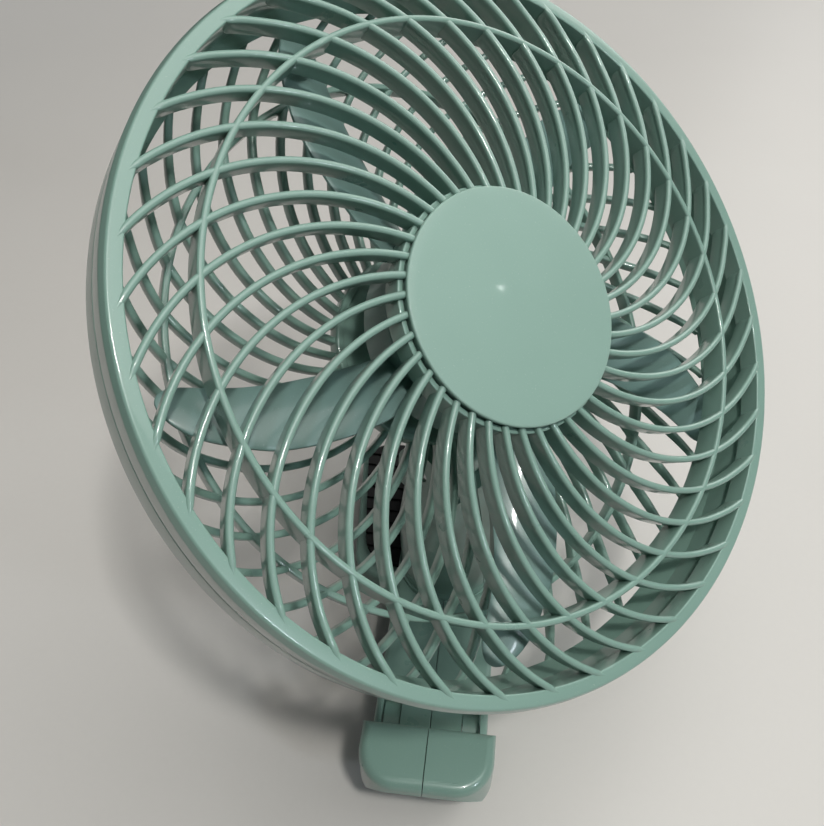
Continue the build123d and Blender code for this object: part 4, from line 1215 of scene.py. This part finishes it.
# ==============================
# Clip
# ==============================
@dataclass
class ClipSpring:
    """Torsion spring of round wire about the clip's pin, built here as one fixed piece; on the clip its upper leg
    turns with the base and its lower one stays.

    Attributes, in millimetres and degrees:
        place: the clip hinge's frame.
        wire_r: the wire's radius.
        coil_r: radius of the coil, to the wire's middle.
        turns: whole turns of the coil.
        pitch: its advance for each turn.
        leg: length of each leg.
        slope: how far the coil falls short of another half turn.
        free: length of the coil beside each leg's wire that moves with the leg.
        coil_points, leg_points, wire_points: points along the coil, along each leg, and round the wire.
    """

    place: Place
    wire_r: float = 0.6
    coil_r: float = 3.2
    turns: int = 2
    pitch: float = 2.0
    leg: float = 15.0
    slope: float = 24.0
    free: float = 0.1
    coil_points: int = 150
    leg_points: int = 8
    wire_points: int = 16

    def build(self) -> list[bpy.types.Object]:
        """Build the wire: a helix about the pin between two straight legs, with a round section whose
        points stand on the spoke from the pin and on the cross product of tangent and spoke.

        Returns:
            The new piece.
        """
        swing = math.radians(360 * self.turns + 180 - self.slope)
        turned = np.linspace(0, swing, self.coil_points)
        way = math.pi / 2 - turned
        zero = np.zeros_like(way)
        spoke = np.stack([zero, np.cos(way), np.sin(way)], axis=-1)
        coil = spoke * self.coil_r
        coil[:, 0] = self.pitch * (turned - swing / 2) / TURN
        ahead = np.stack([zero + self.pitch / TURN, self.coil_r * np.sin(way), -self.coil_r * np.cos(way)], axis=-1)
        ahead /= np.linalg.norm(ahead, axis=1, keepdims=True)
        steps = np.linspace(self.leg, 0, self.leg_points, endpoint=False)[:, None]
        path = np.concatenate([coil[0] - ahead[0] * steps, coil, coil[-1] + ahead[-1] * steps[::-1]])
        legs = ((self.leg_points, self.leg_points), (0, 0))
        spokes, ways = (np.pad(rows, legs, mode="edge") for rows in (spoke, ahead))
        side = np.cross(ways, spokes)
        angle = np.linspace(0, TURN, self.wire_points, endpoint=False)
        ring = spokes[:, None] * np.cos(angle)[None, :, None] + side[:, None] * np.sin(angle)[None, :, None]
        spring = Surface("wire_clip_spring", self.place, Finish.SPRING_STEEL)
        spring.tube(path[:, None] + ring * self.wire_r)
        reach = self.pitch * swing / (2 * TURN) - self.wire_r - self.free
        ends = self.place.out(np.array([[-reach, 0, 0], [reach, 0, 0]]))
        return [spring.finished("base_housing", ["clip_spring"], onward=("clip_base", ends))]


# ==============================
# CAD nodes' finishes
# ==============================
class CarriedNodes:
    """The nodes whose solids show as they are: each gets its slot's finish."""

    def dress(self) -> None:
        """Give every node the finish of its slot."""
        finishes = {finish.slot: finish for finish in Finish}
        slots = {part["node"]: part["material_slot"] for part in frame["record"]["subparts"]}
        for name, node in frame["nodes"].items():
            material = finishes[slots[name]].material()
            for slot in node.material_slots:
                slot.material = material
            log.info("%s: finish %s", name, slots[name])


# ==============================
# Studio
# ==============================
@dataclass(frozen=True)
class Lamp:
    """Rectangular area lamp.

    Attributes:
        name: its name.
        place: where it hangs, in metres.
        size: its width and height, in metres.
        power: watts.
        colour: linear colour.
        aim: the point that it faces, in metres.
    """

    name: str
    place: Triple
    size: Pair
    power: float
    colour: Triple
    aim: Triple = (0.0, 0.0, 0.1)

    def hang(self) -> None:
        """Put the lamp in the scene, turned to the point that it faces."""
        data = bpy.data.lights.new(self.name, "AREA")
        data.shape = "RECTANGLE"
        data.size, data.size_y = self.size
        data.energy = self.power
        data.color = self.colour
        lamp = bpy.data.objects.new(self.name, data)
        lamp.location = self.place
        lamp.rotation_euler = (Vector(self.aim) - Vector(self.place)).to_track_quat("-Z", "Y").to_euler()
        bpy.context.scene.collection.objects.link(lamp)


LAMPS = (
    Lamp("ceiling_lamp", (0.377, -0.539, 1.347), (0.12, 0.12), 8.0, (1.0, 0.98, 0.95)),
    Lamp("ceiling_panel", (0.4, 0.12, 1.4), (1.3, 1.3), 10.0, (1.0, 0.99, 0.97)),
    Lamp("window_back", (0.8, 1.15, 0.8), (1.1, 0.9), 8.0, (1.0, 0.985, 0.96), (0.15, 0.25, 0.0)),
    Lamp("window_front", (1.0, -0.7, 0.8), (0.15, 0.13), 2.7, (0.82, 0.91, 1.0)),
    Lamp("ceiling_spot", (-0.17, -0.6, 1.14), (0.05, 0.04), 0.4, (0.95, 0.97, 1.0)),
    Lamp("glint", (1.003, 0.165, 0.809), (0.006, 0.014), 0.02, (1.0, 1.0, 1.0), (0.01, -0.011, 0.158)),
)


@dataclass
class Studio:
    """Camera, floor and lights.

    Attributes:
        eye_mm: the camera's place, in millimetres.
        elevation: how far the camera looks down, in degrees.
        azimuth: how far it stands to the right of the clip's axis, in degrees.
        lens: focal length in millimetres over the sensor.
        sensor: the sensor's width, in millimetres.
        near: distance in metres past which the camera sees.
        floor_half: half the floor's side, in metres.
    """

    eye_mm: Triple = (9.27, -184.1, 286.2)
    elevation: float = 45.0
    azimuth: float = 7.0
    lens: float = 37.66
    sensor: float = 36.0
    near: float = 0.01
    floor_half: float = 2.5

    def camera(self) -> None:
        """Set the camera: its axes are the right, up and backward directions of the photographed view."""
        e, a = math.radians(self.elevation), math.radians(self.azimuth)
        right = Vector((math.cos(a), math.sin(a), 0))
        back = Vector((math.sin(a) * math.cos(e), -math.cos(a) * math.cos(e), math.sin(e)))
        up = back.cross(right)
        turn = Matrix((right, up, back)).transposed().to_4x4()
        data = bpy.data.cameras.new("camera")
        data.lens = self.lens
        data.sensor_width = self.sensor
        data.clip_start = self.near
        camera = bpy.data.objects.new("camera", data)
        camera.matrix_world = Matrix.Translation(Vector(self.eye_mm) * MM) @ turn
        bpy.context.scene.collection.objects.link(camera)
        bpy.context.scene.camera = camera

    def floor(self) -> None:
        """Lay the table top."""
        mesh = bpy.data.meshes.new("table_top")
        half = self.floor_half
        corners = [(-half, -half, 0), (half, -half, 0), (half, half, 0), (-half, half, 0)]
        mesh.from_pydata(corners, [], [(0, 1, 2, 3)])
        mesh.materials.append(Finish.TABLE.material())
        table = bpy.data.objects.new("table_top", mesh)
        bpy.context.scene.collection.objects.link(table)

    def sky(self) -> None:
        """Set dim, slightly cool surroundings that look pale where the camera sees them."""
        world = bpy.data.worlds.new("studio")
        tree = Tree(world)
        colour = tree.mix(tree.ray("Camera"), rgba(SKY_LIGHT), rgba(BACKDROP))
        background = tree.node("ShaderNodeBackground", {}, {"Color": colour})
        tree.node("ShaderNodeOutputWorld", {}, {"Surface": background.outputs[0]})
        bpy.context.scene.world = world

    def build(self) -> None:
        """Set everything up."""
        self.camera()
        self.floor()
        self.sky()
        for lamp in LAMPS:
            lamp.hang()
        bpy.context.scene.view_settings.view_transform = "Standard"


# ==============================
# Assembly
# ==============================
def head_place() -> Place:
    """The head's frame: origin in the rim plane, z along the fan's axis, x against the tilt hinge's axis.

    Returns:
        The frame.
    """
    z = np.array(JOINTS["fan_spin"]["axis"], float)
    x = -np.array(JOINTS["head_tilt"]["axis"], float)
    z /= np.linalg.norm(z)
    x -= z * (x @ z)
    x /= np.linalg.norm(x)
    return Place(np.array(JOINTS["fan_spin"]["pos_m"], float), np.stack([x, np.cross(z, x), z]))


def clip_place() -> Place:
    """The clip hinge's frame: row axes at the hinge's centre."""
    return Place(np.array(JOINTS["clip_hinge"]["pos_m"], float), np.eye(3))


def main() -> None:
    """Build the pieces in order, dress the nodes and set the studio."""
    logging.basicConfig(level=logging.INFO, format="%(name)s %(message)s")
    head = head_place()
    CarriedNodes().dress()
    made: list[bpy.types.Object] = []
    for assembly in (FrontGrille(head), RearGrille(head), Blades(head), ClipSpring(clip_place())):
        made += assembly.build()
        log.info("%s done", type(assembly).__name__)
    Studio().build()
    log.info("%d new pieces", len(made))


if __name__ == "__main__":
    main()
